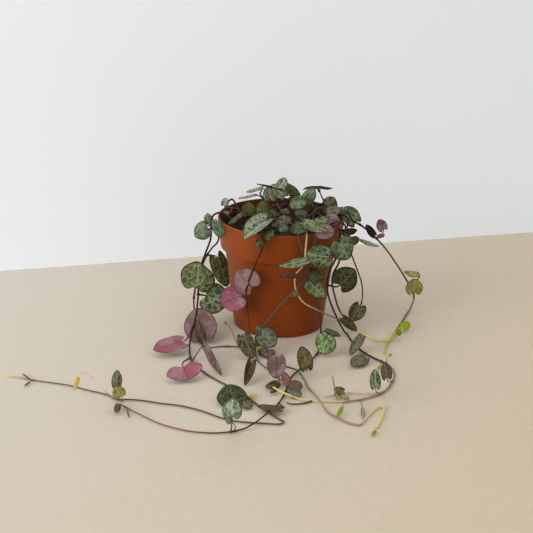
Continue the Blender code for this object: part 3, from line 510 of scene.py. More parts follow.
@dataclass
class Soil:
    """The peat: a rough, slightly mounded top of crumbs over a plain plug that fills the pot."""

    pot: Pot
    top: float = 50.0
    mound: float = 1.0
    clear: float = 0.35
    rows: int = 90
    columns: int = 260
    crumbs: int = 900
    crumb_radius: tuple[float, float] = (0.5, 1.7)
    fibres: int = 70

    def relief(self, x: np.ndarray, y: np.ndarray) -> np.ndarray:
        """The height of the crumbs over the mound.

        Each crumb is a half ball of random radius at a random place, and the surface is the highest of
        them, so the crumbs lie against each other like grains.
        """
        random = np.random.default_rng(11)
        reach = self.pot.collar(self.top)
        places = random.uniform(-reach, reach, (self.crumbs, 2))
        radii = random.uniform(*self.crumb_radius, self.crumbs) * random.uniform(0.5, 1.0, self.crumbs)
        height = np.zeros_like(x)
        for (across, along), radius in zip(places, radii):
            apart = (x - across) ** 2 + (y - along) ** 2
            height = np.maximum(height, np.sqrt(np.maximum(radius**2 - apart, 0.0)))
        return height

    def surface(self) -> Shape:
        """Rings from the middle of the top out to the wall, then down the plug to its underside."""
        gap = self.pot.wall + self.clear
        edge = self.pot.collar(self.top) - gap
        turns = np.arange(self.columns) * 2 * math.pi / self.columns
        share = np.linspace(0.01, 1.0, self.rows)[:, None]
        x, y = edge * share * np.cos(turns), edge * share * np.sin(turns)
        shrink = 1 - share**6
        z = self.top - 0.6 + self.mound * (1 - share**2) + self.relief(x, y) * shrink
        top = np.stack([x, y, z], axis=-1)
        step = self.pot.collar_height + gap
        plug = np.array(
            [
                (self.pot.collar(step) - gap, step + 0.1),
                (self.pot.body(step) - gap, step - 0.2),
                (self.pot.body(self.pot.wall) - gap, self.pot.wall + self.clear),
            ]
        )
        low = np.stack(
            [
                plug[:, :1] * np.cos(turns),
                plug[:, :1] * np.sin(turns),
                plug[:, 1:] + 0 * turns,
            ],
            axis=-1,
        )
        poles = np.array([[0.0, 0.0, top[0, :, 2].mean()], [0.0, 0.0, plug[-1, 1]]])
        return Shape.closed(np.concatenate([top, low]), poles)

    def build(self, peat: bpy.types.Material) -> bpy.types.Object:
        """The peat as a piece."""
        return self.surface().piece("peat", "soil", "soil", peat)


@dataclass(frozen=True)
class LeafFinish:
    """A leaf's colours: its upper face, the pale net on it, its margin and its underside.

    Cover is the net's width as a share of its cells, strength how much it shows, and grain how many
    cells there are to the millimetre.
    """

    face: Colour
    net: Colour
    margin: Colour
    under: Colour
    cover: float = 0.18
    strength: float = 0.8
    grain: float = 0.62
    rough: float = 0.0


class Look(Enum):
    """The looks that a leaf of this plant has, from its buds to its old leaves."""

    MARBLED = LeafFinish((46, 58, 22), (150, 164, 124), (74, 60, 18), (120, 84, 82), 0.26, 0.95)
    DEEP = LeafFinish((38, 39, 12), (100, 108, 74), (62, 54, 12), (112, 76, 72), 0.24, 0.9)
    OLIVE = LeafFinish((54, 46, 13), (126, 118, 78), (58, 42, 12), (106, 76, 62), 0.26, 0.9)
    SMOOTH = LeafFinish((52, 68, 42), (132, 148, 118), (66, 70, 32), (124, 94, 86), 0.38, 0.8, 0.5)
    SILVER = LeafFinish((28, 36, 15), (176, 186, 156), (78, 86, 44), (128, 98, 90), 0.42, 1.05, 1.25)
    VIVID = LeafFinish((46, 72, 26), (150, 176, 122), (82, 66, 24), (124, 88, 86), 0.3, 1.0)
    MOSS = LeafFinish((56, 60, 13), (94, 100, 38), (62, 44, 12), (106, 76, 62), 0.3, 0.7)
    GREY = LeafFinish((60, 59, 42), (130, 133, 108), (62, 52, 34), (108, 84, 76), 0.44, 0.85, 0.8)
    DUSKY = LeafFinish((60, 44, 32), (112, 98, 80), (42, 30, 20), (104, 78, 72), 0.26, 0.7, 0.8, 0.2)
    MAROON = LeafFinish((34, 21, 15), (66, 45, 37), (28, 17, 11), (84, 52, 48), 0.2, 0.6, 0.8, 0.45)
    PINK = LeafFinish((46, 52, 24), (136, 144, 104), (60, 44, 38), (150, 84, 100), 0.26, 0.9)
    MAUVE = LeafFinish((46, 52, 24), (136, 144, 104), (58, 42, 34), (118, 76, 76), 0.26, 0.9)
    LILAC = LeafFinish((46, 52, 24), (136, 144, 104), (58, 42, 34), (124, 94, 88), 0.26, 0.9)
    RUST = LeafFinish((92, 50, 42), (138, 98, 90), (56, 30, 22), (122, 70, 64), 0.3, 0.7, 0.8)
    BUD = LeafFinish((118, 134, 0), (146, 166, 2), (104, 112, 0), (140, 156, 2), 0.24, 0.5)
    GOLD = LeafFinish((190, 164, 50), (218, 200, 116), (150, 122, 24), (196, 172, 76), 0.24, 0.5)
    PALE = LeafFinish((106, 104, 36), (178, 170, 108), (92, 78, 24), (150, 138, 78), 0.4, 0.8, 0.8)
    BROWN = LeafFinish((88, 68, 50), (120, 98, 78), (62, 44, 32), (104, 86, 66), 0.3, 0.5)


class Tint(Enum):
    """The colours that the stems and stalks take along their length."""

    DARK = (46, 33, 27)
    BROWN = (88, 70, 60)
    GREY = (116, 99, 86)
    RED = (142, 84, 84)
    PINK = (176, 128, 124)
    TAN = (150, 124, 100)
    PALE = (204, 188, 146)
    YELLOW = (218, 208, 112)
    LIME = (176, 186, 50)


@dataclass(frozen=True)
class Leaf:
    """A leaf: where its stalk meets it, its tip, its width, and the way its upper side looks.

    Face is in degrees: round from the viewer towards the right, and up. The stalk leaves the stem
    nearest to root, or nearest to base where no root is given. Fold lifts the two halves towards each
    other over the midrib, as a share of their width.
    """

    base: np.ndarray
    tip: np.ndarray
    width: float
    face: tuple[float, float]
    look: Look
    root: np.ndarray | None = None
    fold: float = 0.0


@dataclass(frozen=True)
class Twig:
    """A thin side shoot: its route and its colour."""

    route: list[np.ndarray]
    tint: Tint


@dataclass(frozen=True)
class Stem:
    """A leafy stem: its node's name, its foot in the soil, its route, its leaves and its twigs.

    Tints gives the stem's colour at some of its route's points, by their number in the route.
    """

    name: str
    foot: tuple[float, float]
    route: list[np.ndarray]
    leaves: list[Leaf]
    twigs: tuple[Twig, ...] = ()
    tints: tuple[tuple[float, Tint], ...] = ((0, Tint.DARK), (6, Tint.BROWN))
    tip_radius: float = 0.34


STEM_RADIUS = 0.6
LAID_HEIGHT = STEM_RADIUS + 0.2
OVER = LAID_HEIGHT + 2 * STEM_RADIUS + 0.4

LEFT_STRAND = Stem(
    "left_strand",
    (-21, -6),
    [
        at(-25, -4, 57), at(-31, -2.5, 60.4), at(-35, -2, 58.6), seen(211.5, 226, -3), seen(210.5, 239, -4),
        seen(205, 254.4, -6), seen(201, 266, -7), seen(198.3, 291, -10.5), seen(197.8, 300, -15),
        seen(195.5, 318, -26.5), seen(192.5, 330, -34), seen(190.3, 340, -39.5), laid(189.5, 350),
        laid(192, 361),
        laid(203.3, 371.7), laid(216.7, 380), laid(231, 387.5), laid(247, 397), laid(266, 411),
        laid(280, 419.5), laid(284, 422), laid(280, 424), laid(266, 423.5), laid(250, 422.5),
        laid(236.7, 421.3), laid(221.7, 418), laid(200, 410.4), laid(178.3, 405.4), laid(160, 403.3),
        laid(145, 400.8), laid(130, 399.5), laid(118, 399.5), laid(106, 394.5), laid(85, 389.5),
        laid(70, 385.5), laid(50, 382.5), laid(33, 380), laid(20, 377.5), laid(7.5, 375.5),
    ],
    [
        Leaf(seen(206.5, 227, -5), seen(195, 237, -6), 10.2, (-20, 30), Look.SMOOTH, seen(211.5, 224, -3)),
        Leaf(seen(208.7, 223.5, -2), seen(207.5, 213, -1), 5.2, (-30, 40), Look.SMOOTH, seen(211.5, 225, -3)),
        Leaf(seen(217, 221.5, -14), seen(220.8, 238, -20), 6.8, (15, 30), Look.SMOOTH, seen(211.5, 228, -3)),
        Leaf(seen(206, 296, -8), seen(227.5, 304, -11), 16.6, (10, 15), Look.MARBLED, seen(198, 294, -12)),
        Leaf(laid(202.5, 336, 3.4), seen(197, 308.5, -15), 17.0, (180, -30), Look.LILAC, seen(193.2, 327, -32)),
        Leaf(laid(181.5, 342.5, 5.5), laid(153.5, 350.5, 3.6), 11.8, (180, -72), Look.PINK, seen(194, 325, -31)),
        Leaf(laid(183, 367, 6.0), laid(188.5, 380, 2.0), 18.0, (180, -62), Look.PINK, laid(191, 357)),
        Leaf(laid(205, 346, 6.0), laid(222.5, 375.2, 1.5), 6.2, (115, -10), Look.DUSKY, laid(192, 361)),
        Leaf(laid(234, 402, 2.6), laid(229, 384, 7.5), 14.5, (0, 65), Look.DEEP, laid(237, 391)),
        Leaf(laid(243, 403.5, 2.4), laid(253.5, 405, 1.8), 6.0, (0, 75), Look.OLIVE, laid(249, 398.5)),
        Leaf(laid(250, 396.5, 1.6), laid(257, 394.5, 2.2), 2.2, (0, 60), Look.GOLD, laid(246.5, 397)),
        Leaf(seen(116.5, 386, -117), seen(117.2, 369.8, -113), 4.9, (10, 40), Look.GREY, laid(118.5, 399.5)),
        Leaf(seen(121, 396, -127), seen(115, 387, -127), 6.0, (-10, 40), Look.PALE, laid(122, 399.5)),
        Leaf(seen(78, 379, -118), seen(73.8, 391, -118), 2.0, (0, 20), Look.GOLD),
        Leaf(laid(29, 378.5, 1.2), laid(22, 373.2, 1.2), 1.0, (0, 60), Look.BROWN, laid(33, 379.8)),
        Leaf(laid(29, 382.5, 1.2), laid(24.3, 386, 1.2), 1.2, (0, 60), Look.BROWN, laid(33, 379.8)),
    ],
    (
        Twig(
            [
                laid(117, 399), seen(106, 392, -122), seen(93, 378, -118), seen(85, 373, -117),
                seen(80, 373, -117), seen(77.5, 377, -118),
            ],
            Tint.PALE,
        ),
    ),
    ((0, Tint.DARK), (10, Tint.DARK), (13, Tint.BROWN), (31, Tint.BROWN), (36, Tint.GREY), (38, Tint.YELLOW)),
)

BACK_LEFT_STRAND = Stem(
    "back_left_strand",
    (-20, 11),
    [
        at(-23, 17, 57), at(-26, 21.5, 60.3), at(-28.5, 24, 57.5), at(-32, 20, 49), seen(218, 241, 14),
        seen(212, 248, 9), seen(206, 257, 4), seen(199, 275, 1), seen(194.5, 291, -1),
        seen(194, 306, -1), seen(195.5, 316, -1), laid(197.5, 328), laid(199.5, 338), laid(203, 345),
        laid(210.5, 347.3), laid(223, 346.3), laid(238, 347), laid(247, 350.5),
    ],
    [
        Leaf(seen(195.5, 287.2, -14.5), seen(198, 262.3, -17), 18.8, (-12, 14), Look.MARBLED, seen(194, 297, -1)),
        Leaf(seen(217, 258, 8), seen(228, 287, 15), 10.0, (22, 5), Look.VIVID, seen(207, 255, 5)),
        Leaf(laid(202, 340, 3.5), seen(196.5, 320, -34), 5.2, (-20, 30), Look.DUSKY, laid(203, 345)),
        Leaf(seen(243.5, 336.5, -50), laid(252.8, 358.5, 1.8), 8.2, (0, 35), Look.OLIVE, laid(242, 348.5)),
        Leaf(seen(226.2, 324, -36), seen(225, 321.5, -36), 1.2, (0, 30), Look.BROWN, seen(227, 325, -36.2)),
    ],
    (Twig([laid(238.5, 347.1), seen(235, 338.5, -38), seen(231, 329.5, -37), seen(226, 322.5, -36)], Tint.TAN),),
    ((0, Tint.DARK), (11, Tint.DARK), (13, Tint.BROWN)),
)

FRONT_LEFT_STRAND = Stem(
    "front_left_strand",
    (-12, -17),
    [
        at(-11, -23, 57), at(-9.8, -30, 60.3), at(-9.6, -34, 58.4), seen(263.5, 243, -34.5),
        seen(255, 265, -33), seen(249, 280, -31.5), seen(246.5, 290, -31), seen(247, 305, -30),
        seen(248.7, 324.5, -29), seen(249.5, 334, -29), laid(250.5, 344), laid(254.5, 353.5),
        laid(260, 363), laid(268, 369), laid(276, 374.5), laid(280, 380.5),
    ],
    [
        Leaf(seen(266.8, 238, -36), seen(274, 230.5, -36), 4.5, (0, 40), Look.DEEP, seen(264, 241, -34.5)),
        Leaf(seen(261.7, 241.5, -36.5), seen(255, 246, -36.5), 5.0, (0, 40), Look.DEEP, seen(264, 240, -34.5)),
        Leaf(seen(252.5, 287, -31.6), seen(237, 270.8, -28.7), 15.6, (163, 0), Look.MAUVE, seen(248, 284, -31.5)),
        Leaf(seen(241, 296, -28.5), seen(220.5, 303.5, -25), 13.2, (172, -14), Look.PINK, seen(242, 293.5, -29.5)),
        Leaf(laid(251, 363, 6), laid(245, 385, 1.2), 5.0, (20, 40), Look.DUSKY, laid(258, 360), 0.9),
        Leaf(laid(277.5, 382.5, 2.0), laid(266, 387.5, 1.8), 5.0, (0, 65), Look.OLIVE, laid(279, 378)),
        Leaf(laid(276, 390, 1.8), laid(270, 393, 1.6), 2.2, (0, 70), Look.DUSKY, laid(279.5, 380)),
    ],
    (Twig([seen(248, 282.5, -31.8), seen(244.5, 288.5, -31.4), seen(241.7, 294, -29.8)], Tint.PINK),),
    ((0, Tint.DARK), (6, Tint.DARK), (9, Tint.BROWN), (12, Tint.GREY)),
)

DIAGONAL_STRAND = Stem(
    "diagonal_strand",
    (12, -18),
    [
        at(15, -23, 57), at(17.3, -27.6, 60.4), at(18.2, -29.8, 58.8), seen(314.5, 242, -30.8),
        seen(311.5, 262, -29.8), seen(308, 275, -29.3), seen(300.7, 284.6, -29.3), seen(292.7, 292.6, -29.5),
        seen(279, 307.5, -29.5), seen(266, 322.5, -30), seen(256.5, 335, -31.5), laid(257, 346.5),
        laid(261, 354.5), laid(272, 360), laid(283, 365.5), laid(291, 368, OVER), laid(298, 371, OVER),
        laid(303, 378), laid(308, 387), laid(317, 397, 1.6), laid(321, 402.5, OVER), laid(325, 408.5, 1.2),
        laid(329, 413), laid(338.5, 418.5), laid(349, 423), laid(359, 425), laid(364, 421),
        laid(369, 415.4), laid(378.5, 407.5), laid(383.5, 406.5), laid(384, 411.5), laid(380.8, 420),
        laid(377, 427),
    ],
    [
        Leaf(seen(308, 281, -35), seen(325.3, 298, -33), 8.6, (5, 25), Look.MARBLED, seen(305, 278.5, -31)),
        Leaf(seen(260.8, 334, -46), seen(276, 345.5, -49), 10.6, (10, 30), Look.GREY, laid(259, 350)),
        Leaf(seen(261, 331.5, -44), seen(256, 325.7, -44), 3.8, (0, 40), Look.GREY, laid(258, 348.5)),
        Leaf(laid(262, 351.5, 2.8), laid(267, 347, 3.4), 4.0, (0, 50), Look.SILVER, laid(260.5, 353.5)),
        Leaf(laid(268.5, 354.5, 2.8), laid(274.5, 350, 4.2), 4.5, (0, 50), Look.RUST, laid(268, 358)),
        Leaf(seen(277, 358, -76), seen(276, 379, -88), 9.2, (180, -50), Look.DUSKY, laid(276, 362)),
        Leaf(laid(375, 431, 1.4), laid(371.8, 435.5, 1.3), 1.7, (0, 70), Look.BUD),
        Leaf(laid(256, 350.5, 2.6), laid(259.3, 346, 4.0), 1.8, (0, 50), Look.GOLD, laid(257.5, 349)),
    ],
    (),
    ((0, Tint.BROWN), (16, Tint.BROWN), (18, Tint.TAN), (25, Tint.TAN), (26, Tint.PALE), (29, Tint.YELLOW)),
    0.42,
)

FRONT_STRAND = Stem(
    "front_strand",
    (3, -20),
    [
        at(6, -26, 57.5), at(8, -31, 60.4), at(8.6, -34.3, 58.6), seen(301, 246, -34.5),
        seen(304.3, 257, -33.5), seen(310, 276, -32), seen(316, 297.7, -28.5), seen(319, 309, -25.5),
        seen(320.6, 322, -22.5), laid(321, 334.5), laid(321.5, 343), laid(319, 351), laid(312.5, 358.5),
        laid(304, 365.5), laid(298, 370.5), laid(291, 377.5), laid(287.5, 387), laid(283.5, 396),
        laid(277.5, 404.5, 1.6), laid(270, 411, OVER), laid(262, 417.5, OVER), laid(253, 424, OVER),
        laid(243, 429), laid(232, 431.5), laid(215, 433), laid(203, 432.5), laid(190, 431.3),
        laid(178, 428.8), laid(165, 425.4), laid(155, 421.7), laid(142, 415.5), laid(130, 409.5),
        laid(122.5, 405.5),
    ],
    [
        Leaf(seen(310, 273, -36.5), seen(324.5, 278.5, -36), 9.0, (0, 60), Look.DEEP, seen(308.5, 270, -32)),
        Leaf(seen(327, 337.5, -47), laid(322, 354.5, 2.0), 11.0, (-10, 40), Look.VIVID, laid(321, 345)),
        Leaf(seen(306.5, 368, -76), seen(301.3, 346.3, -75), 7.6, (-15, 30), Look.OLIVE, laid(304.5, 365)),
        Leaf(seen(288.3, 385, -103), seen(283.5, 371.5, -98), 4.5, (10, 30), Look.RUST, laid(288, 386)),
        Leaf(laid(291.5, 386.5, 2.4), laid(303, 387.5, 2.4), 6.5, (0, 50), Look.BROWN, laid(288.5, 384)),
        Leaf(laid(292, 393.5, 2.0), laid(302, 395, 1.8), 5.5, (0, 65), Look.GREY, laid(285.5, 391.5)),
        Leaf(laid(280.5, 408.5, 3.2), laid(257, 405.5, 2.6), 6.4, (0, 85), Look.DUSKY, laid(278, 404)),
        Leaf(seen(232, 416.5, -167), seen(232.5, 398.2, -162), 8.6, (-10, 35), Look.SILVER, laid(231, 431.5)),
        Leaf(seen(231, 421.5, -170), seen(226, 418, -169), 3.4, (0, 35), Look.GREY, laid(234.5, 431)),
        Leaf(laid(118.3, 404.5, 3.0), laid(116.3, 412.8, 1.6), 3.3, (0, 60), Look.BROWN),
        Leaf(laid(127.6, 411.5, 1.2), laid(129.2, 417.5, 1.2), 0.9, (0, 60), Look.BROWN, laid(127, 408)),
        Leaf(seen(327, 330.5, -41), seen(341, 336, -42.5), 4.2, (0, 65), Look.DEEP, seen(327, 336, -46)),
    ],
    (),
    ((0, Tint.DARK), (3, Tint.BROWN), (17, Tint.DARK), (22, Tint.DARK), (24, Tint.BROWN), (28, Tint.RED), (32, Tint.GREY)),
)

PALE_STRAND = Stem(
    "pale_strand",
    (9, -11),
    [
        at(11, -20, 57.5), at(12.2, -30, 60.5), at(12.6, -36, 59.5), seen(305.5, 250, -39.5),
        seen(304.5, 263.3, -39.5), seen(295.9, 274.8, -37), seen(295, 286.3, -34), seen(296.5, 291, -33),
        seen(302.6, 301.6, -32), seen(319.8, 311.1, -29), seen(340.9, 320.7, -21), seen(351, 326, -18),
    ],
    [
        Leaf(seen(307, 260.5, -43), seen(278, 266.5, -44), 9.0, (0, 80), Look.MARBLED, seen(304.5, 262, -39.5)),
        Leaf(seen(301, 275.3, -40), seen(280, 275.8, -40), 6.0, (0, 88), Look.DUSKY, seen(296.5, 274, -36)),
        Leaf(seen(297, 292, -35), seen(293, 297, -35), 3.4, (0, 30), Look.BROWN),
        Leaf(seen(343, 318.5, -24), seen(357, 331, -20), 5.0, (-10, 30), Look.DEEP, seen(338, 319.5, -22)),
    ],
    (),
    ((0, Tint.TAN), (5, Tint.PALE), (8, Tint.PALE), (9, Tint.TAN), (11, Tint.BROWN)),
)

RIGHT_STRAND = Stem(
    "right_strand",
    (17, -15),
    [
        at(22, -17, 57), at(26.3, -20, 60.6), at(29.6, -22, 58.8), seen(337, 246, -22),
        seen(335.5, 259, -20.5), seen(330.5, 269, -19.5), seen(327.5, 280, -19), seen(327.2, 288.7, -19),
        seen(329.4, 299.5, -19), seen(338, 320, -18), laid(345, 332.5), laid(352.4, 341.7),
        laid(364, 352.6), laid(376, 359), laid(385, 363), laid(392, 368.5), laid(394.4, 375),
        laid(391.5, 383), laid(386, 390), laid(377, 395), laid(367.7, 398), laid(352.3, 400.8),
        laid(338, 401.5), laid(325, 401.4), laid(306.6, 400.3), laid(297, 398, 1.2),
        laid(290.4, 395.5, 2.2), laid(284, 393, OVER), laid(277, 389.5, 2.6), laid(273, 387, 3.2),
    ],
    [
        Leaf(seen(318.5, 231.5, -32.5), seen(335, 233, -34), 8.6, (175, -42), Look.LILAC, at(26.3, -20, 60.4)),
        Leaf(seen(340, 241, -27), seen(348.5, 259.5, -26), 14.2, (12, 30), Look.MARBLED, seen(336, 238, -22)),
        Leaf(seen(329.5, 257, -32), seen(306, 254, -36.4), 12.6, (0, 30), Look.MARBLED, seen(336.5, 250, -22)),
        Leaf(seen(340, 285, -22), seen(355, 269.3, -19), 13.5, (10, 12), Look.DEEP, seen(327.4, 285, -19)),
        Leaf(seen(361, 337, -40), laid(350.3, 354.5, 1.8), 5.4, (-20, 40), Look.GREY, laid(355, 344)),
        Leaf(laid(364, 357, 3.4), laid(352, 365.5, 2.2), 8.0, (0, 65), Look.GREY, laid(365, 354)),
        Leaf(laid(380, 366, 1.8), laid(377.8, 369.5, 1.8), 1.6, (0, 50), Look.BUD, laid(381, 361.5)),
        Leaf(laid(389.5, 355.5, 3.0), laid(391.8, 354, 3.6), 1.3, (0, 40), Look.BUD, laid(386, 363.5)),
        Leaf(seen(387, 377.5, -95), seen(384.5, 362.5, -90), 5.5, (-15, 30), Look.DUSKY, laid(392.5, 381)),
        Leaf(seen(375.5, 387, -112), seen(374.8, 369.3, -108), 5.3, (5, 30), Look.MARBLED, laid(380, 393.5)),
        Leaf(laid(343, 391.5, 4.0), laid(333.5, 389, 5.0), 4.4, (0, 50), Look.OLIVE, laid(342, 401)),
        Leaf(laid(341.5, 395.3, 2.4), laid(336.5, 399, 1.6), 2.6, (0, 60), Look.PALE, laid(345, 401)),
        Leaf(laid(341.8, 408, 2.4), laid(337, 417.3, 2.7), 2.0, (0, 60), Look.BUD, laid(345, 401.3)),
        Leaf(laid(362.5, 409, 1.5), laid(363.5, 417.7, 1.4), 1.8, (0, 60), Look.PALE, laid(359.5, 399.8)),
        Leaf(laid(347.5, 399, 1.8), laid(341, 394.5, 3.0), 2.4, (0, 50), Look.PALE, laid(349, 401)),
    ],
    (
        Twig(
            [
                laid(385.5, 390.5), laid(373.8, 393.3, 1.0), laid(362, 393, 1.4), laid(350.8, 392.5),
                laid(340, 394, 1.0), laid(324.6, 396.5),
            ],
            Tint.PALE,
        ),
        Twig([laid(312, 401), laid(305, 403), laid(291.7, 404), laid(286.5, 402.5)], Tint.BROWN),
        Twig([laid(335, 395), seen(334.5, 387, -124), seen(332.3, 376, -122)], Tint.TAN),
    ),
    ((0, Tint.DARK), (13, Tint.DARK), (15, Tint.GREY), (19, Tint.TAN), (21, Tint.TAN), (22, Tint.PALE), (26, Tint.YELLOW)),
    0.42,
)

BUDDING_STRAND = Stem(
    "budding_strand",
    (19, -7),
    [
        at(24, -10, 57), at(29.2, -12.6, 60.4), at(32.6, -14, 58.6), seen(342, 244, -15.5),
        seen(339, 262, -15.5), seen(333.5, 273, -14.5), seen(332, 281, -14), seen(334.8, 296.3, -14),
        seen(339.9, 311, -13), seen(346.7, 320, -12), laid(357.6, 330.5), laid(369.6, 337.5),
        laid(379.3, 340.7, 1.2), laid(388, 340.5, OVER), laid(394.5, 334, OVER), laid(399, 329.5, 1.6),
    ],
    [
        Leaf(laid(403, 327.5, 3.0), laid(409.7, 322, 5.0), 5.2, (0, 40), Look.BUD, laid(399, 329.5, 1.6)),
        Leaf(laid(398, 334.5, 2.6), laid(400, 329.5, 7), 3.0, (0, 40), Look.BUD, laid(397, 331.5, 2)),
    ],
    (),
    ((0, Tint.DARK), (8, Tint.BROWN), (9, Tint.YELLOW), (11, Tint.YELLOW), (13, Tint.LIME), (15, Tint.LIME)),
    0.5,
)

RIGHT_BACK_STRAND = Stem(
    "right_back_strand",
    (21, 3),
    [
        at(27, 1.5, 57.5), at(31.6, -1, 60.4), at(34.8, -2.5, 58.4), seen(345, 234, -5),
        seen(348, 246, -6), seen(352, 256, -6), seen(357, 269, -6), seen(361.6, 283, -6),
        seen(362.5, 294, -6), seen(361.6, 303, -7),
    ],
    [
        Leaf(seen(343.5, 232, -11.5), seen(357.3, 230.2, -12), 6.6, (0, 72), Look.MAROON, seen(345, 232, -5)),
        Leaf(seen(351.5, 242.5, -9), seen(359, 237.5, -9), 4.6, (20, 30), Look.OLIVE, seen(347.5, 243, -6)),
        Leaf(seen(360, 306, -10), seen(351.5, 321, -14), 9.0, (-20, 30), Look.OLIVE),
        Leaf(seen(362, 240.8, 0), seen(379.2, 246.4, 1), 4.2, (0, 76), Look.SILVER, seen(347, 240, -6)),
    ],
    (),
    ((0, Tint.DARK), (9, Tint.DARK)),
)

RIGHT_ARC = Stem(
    "right_arc",
    (18, 11),
    [
        at(25, 11, 57.5), at(31.2, 9, 60.6), at(34.5, 7.5, 59.6), seen(353, 221, 6), seen(359, 224, 5.5),
        seen(366, 229, 5.5), seen(376, 238, 6.5), seen(385.7, 248.8, 8), seen(396.4, 263.9, 11),
        seen(407, 281, 15), seen(413, 292, 17), seen(413.5, 300, 18.5), laid(409, 311), laid(403, 320),
        laid(395.5, 331), laid(388.5, 341), laid(385.5, 348), laid(385, 354),
    ],
    [
        Leaf(seen(355.6, 222, 7), seen(344.9, 206.6, 8), 9.8, (10, 40), Look.MARBLED, seen(360, 224.5, 5.5)),
        Leaf(seen(374.3, 235.3, 2), seen(366, 224.8, 2), 4.3, (0, 40), Look.MAROON, seen(376, 238, 6.5)),
        Leaf(seen(383.3, 229.3, 5), seen(378.8, 219.3, 5), 5.9, (190, -10), Look.RUST, seen(377, 238.6, 6.6)),
        Leaf(seen(378.5, 236.5, 4), seen(385, 235, 4), 3.0, (0, 60), Look.RUST, seen(376, 238, 6.5)),
        Leaf(seen(417.5, 273.5, 14), seen(403.8, 271.5, 14), 8.2, (0, 86), Look.PALE, seen(411, 288, 16.3)),
        Leaf(seen(414.3, 292.6, 12), seen(414.1, 278.7, 12), 9.3, (0, 20), Look.PALE, seen(413.8, 297, 18)),
    ],
    (),
    ((0, Tint.DARK), (5, Tint.DARK), (7, Tint.GREY), (10, Tint.BROWN), (11, Tint.TAN), (13, Tint.BROWN), (15, Tint.LIME)),
    0.45,
)

LEFT_SHOOT = Stem(
    "left_shoot",
    (-15, 4),
    [at(-16, 4, 54), seen(248, 214, 4), seen(241, 210, 5), seen(234, 208, 6), seen(229, 208, 6)],
    [
        Leaf(seen(224.3, 205.3, 6), seen(226.3, 197.8, 6), 4.2, (0, 40), Look.SILVER, seen(229, 208, 6), 0.3),
        Leaf(seen(229, 213.3, 3), seen(223.5, 211.5, 3), 3.0, (0, 60), Look.SMOOTH, seen(232, 208.5, 6)),
        Leaf(seen(241, 214.5, -9), seen(227, 225.5, -9), 5.2, (-40, 70), Look.DEEP, seen(247, 214, 4)),
        Leaf(seen(248.5, 215.3, 1), seen(248.5, 201.8, 3), 7.9, (-10, 40), Look.MOSS, seen(245, 212, 4.5)),
        Leaf(seen(259.5, 209, 3), seen(258, 206.3, 3), 1.8, (0, 40), Look.BUD, seen(248, 214, 4)),
    ],
)

BACK_LEFT_SHOOT = Stem(
    "back_left_shoot",
    (-9, 13),
    [at(-9.5, 13.5, 56), seen(263, 199, 14), seen(260, 193.5, 15)],
    [
        Leaf(seen(254.5, 194.8, 13), seen(238, 198.3, 12), 6.4, (180, 86), Look.SILVER, seen(262, 197.5, 14)),
        Leaf(seen(262, 187.8, 16), seen(245.8, 192, 17), 6.0, (0, 85), Look.SILVER),
        Leaf(seen(270.5, 200, 13), seen(269, 185.2, 15), 7.4, (0, 40), Look.SILVER, seen(262.5, 198, 14)),
    ],
)

BACK_SHOOT = Stem(
    "back_shoot",
    (-2, 7),
    [at(-2, 7.5, 56), seen(278.5, 202, 9), seen(277, 196, 9), seen(276.5, 191.5, 9)],
    [
        Leaf(seen(280, 189.2, 9), seen(256, 183.4, 9), 8.5, (180, 76), Look.MAROON),
        Leaf(seen(279.5, 189, 7), seen(285.3, 177.6, 7), 5.9, (5, 30), Look.SILVER, seen(277, 197, 9)),
        Leaf(seen(286, 186.5, 12), seen(300.8, 194.3, 13), 7.5, (5, 62), Look.MOSS, seen(277.5, 194, 9)),
        Leaf(seen(287.5, 203.5, 8), seen(279.5, 198.5, 9), 4.6, (0, 50), Look.DEEP, seen(278.5, 202, 9)),
        Leaf(seen(281, 207, 5), seen(288.5, 198.5, 7), 4.4, (20, 40), Look.MAROON, seen(278.5, 202, 9)),
        Leaf(seen(291.5, 196, 12), seen(299, 199.5, 10), 6.0, (10, 50), Look.DEEP, seen(278, 199, 9)),
        Leaf(seen(284, 195.5, 7), seen(271.5, 184.8, 7), 6.6, (-15, 35), Look.SILVER, seen(277.5, 195, 9)),
    ],
)

BACK_RIGHT_SHOOT = Stem(
    "back_right_shoot",
    (13, 13),
    [at(14, 13, 56), seen(323.5, 202, 12), seen(321.5, 196, 12), seen(319, 190.5, 11)],
    [
        Leaf(seen(317.8, 188.3, 10), seen(315.7, 185.7, 22), 16.0, (-10, 84), Look.MAROON, seen(319.5, 191, 11)),
        Leaf(seen(327.7, 206, 5), seen(334.7, 197.5, 6), 8.0, (10, 50), Look.DEEP, seen(320, 201, 12)),
        Leaf(seen(305, 202, 4), seen(314.5, 187.8, 7), 7.0, (10, 40), Look.SMOOTH, seen(319.5, 202, 12)),
        Leaf(seen(302, 199.5, 0.4), seen(290.5, 208, -3.6), 8.0, (-15, 38), Look.SMOOTH, seen(318, 204, 11)),
        Leaf(seen(311.5, 204.5, 6), seen(310.5, 202.3, 6), 1.8, (0, 40), Look.BUD, seen(319.5, 203, 12)),
    ],
)

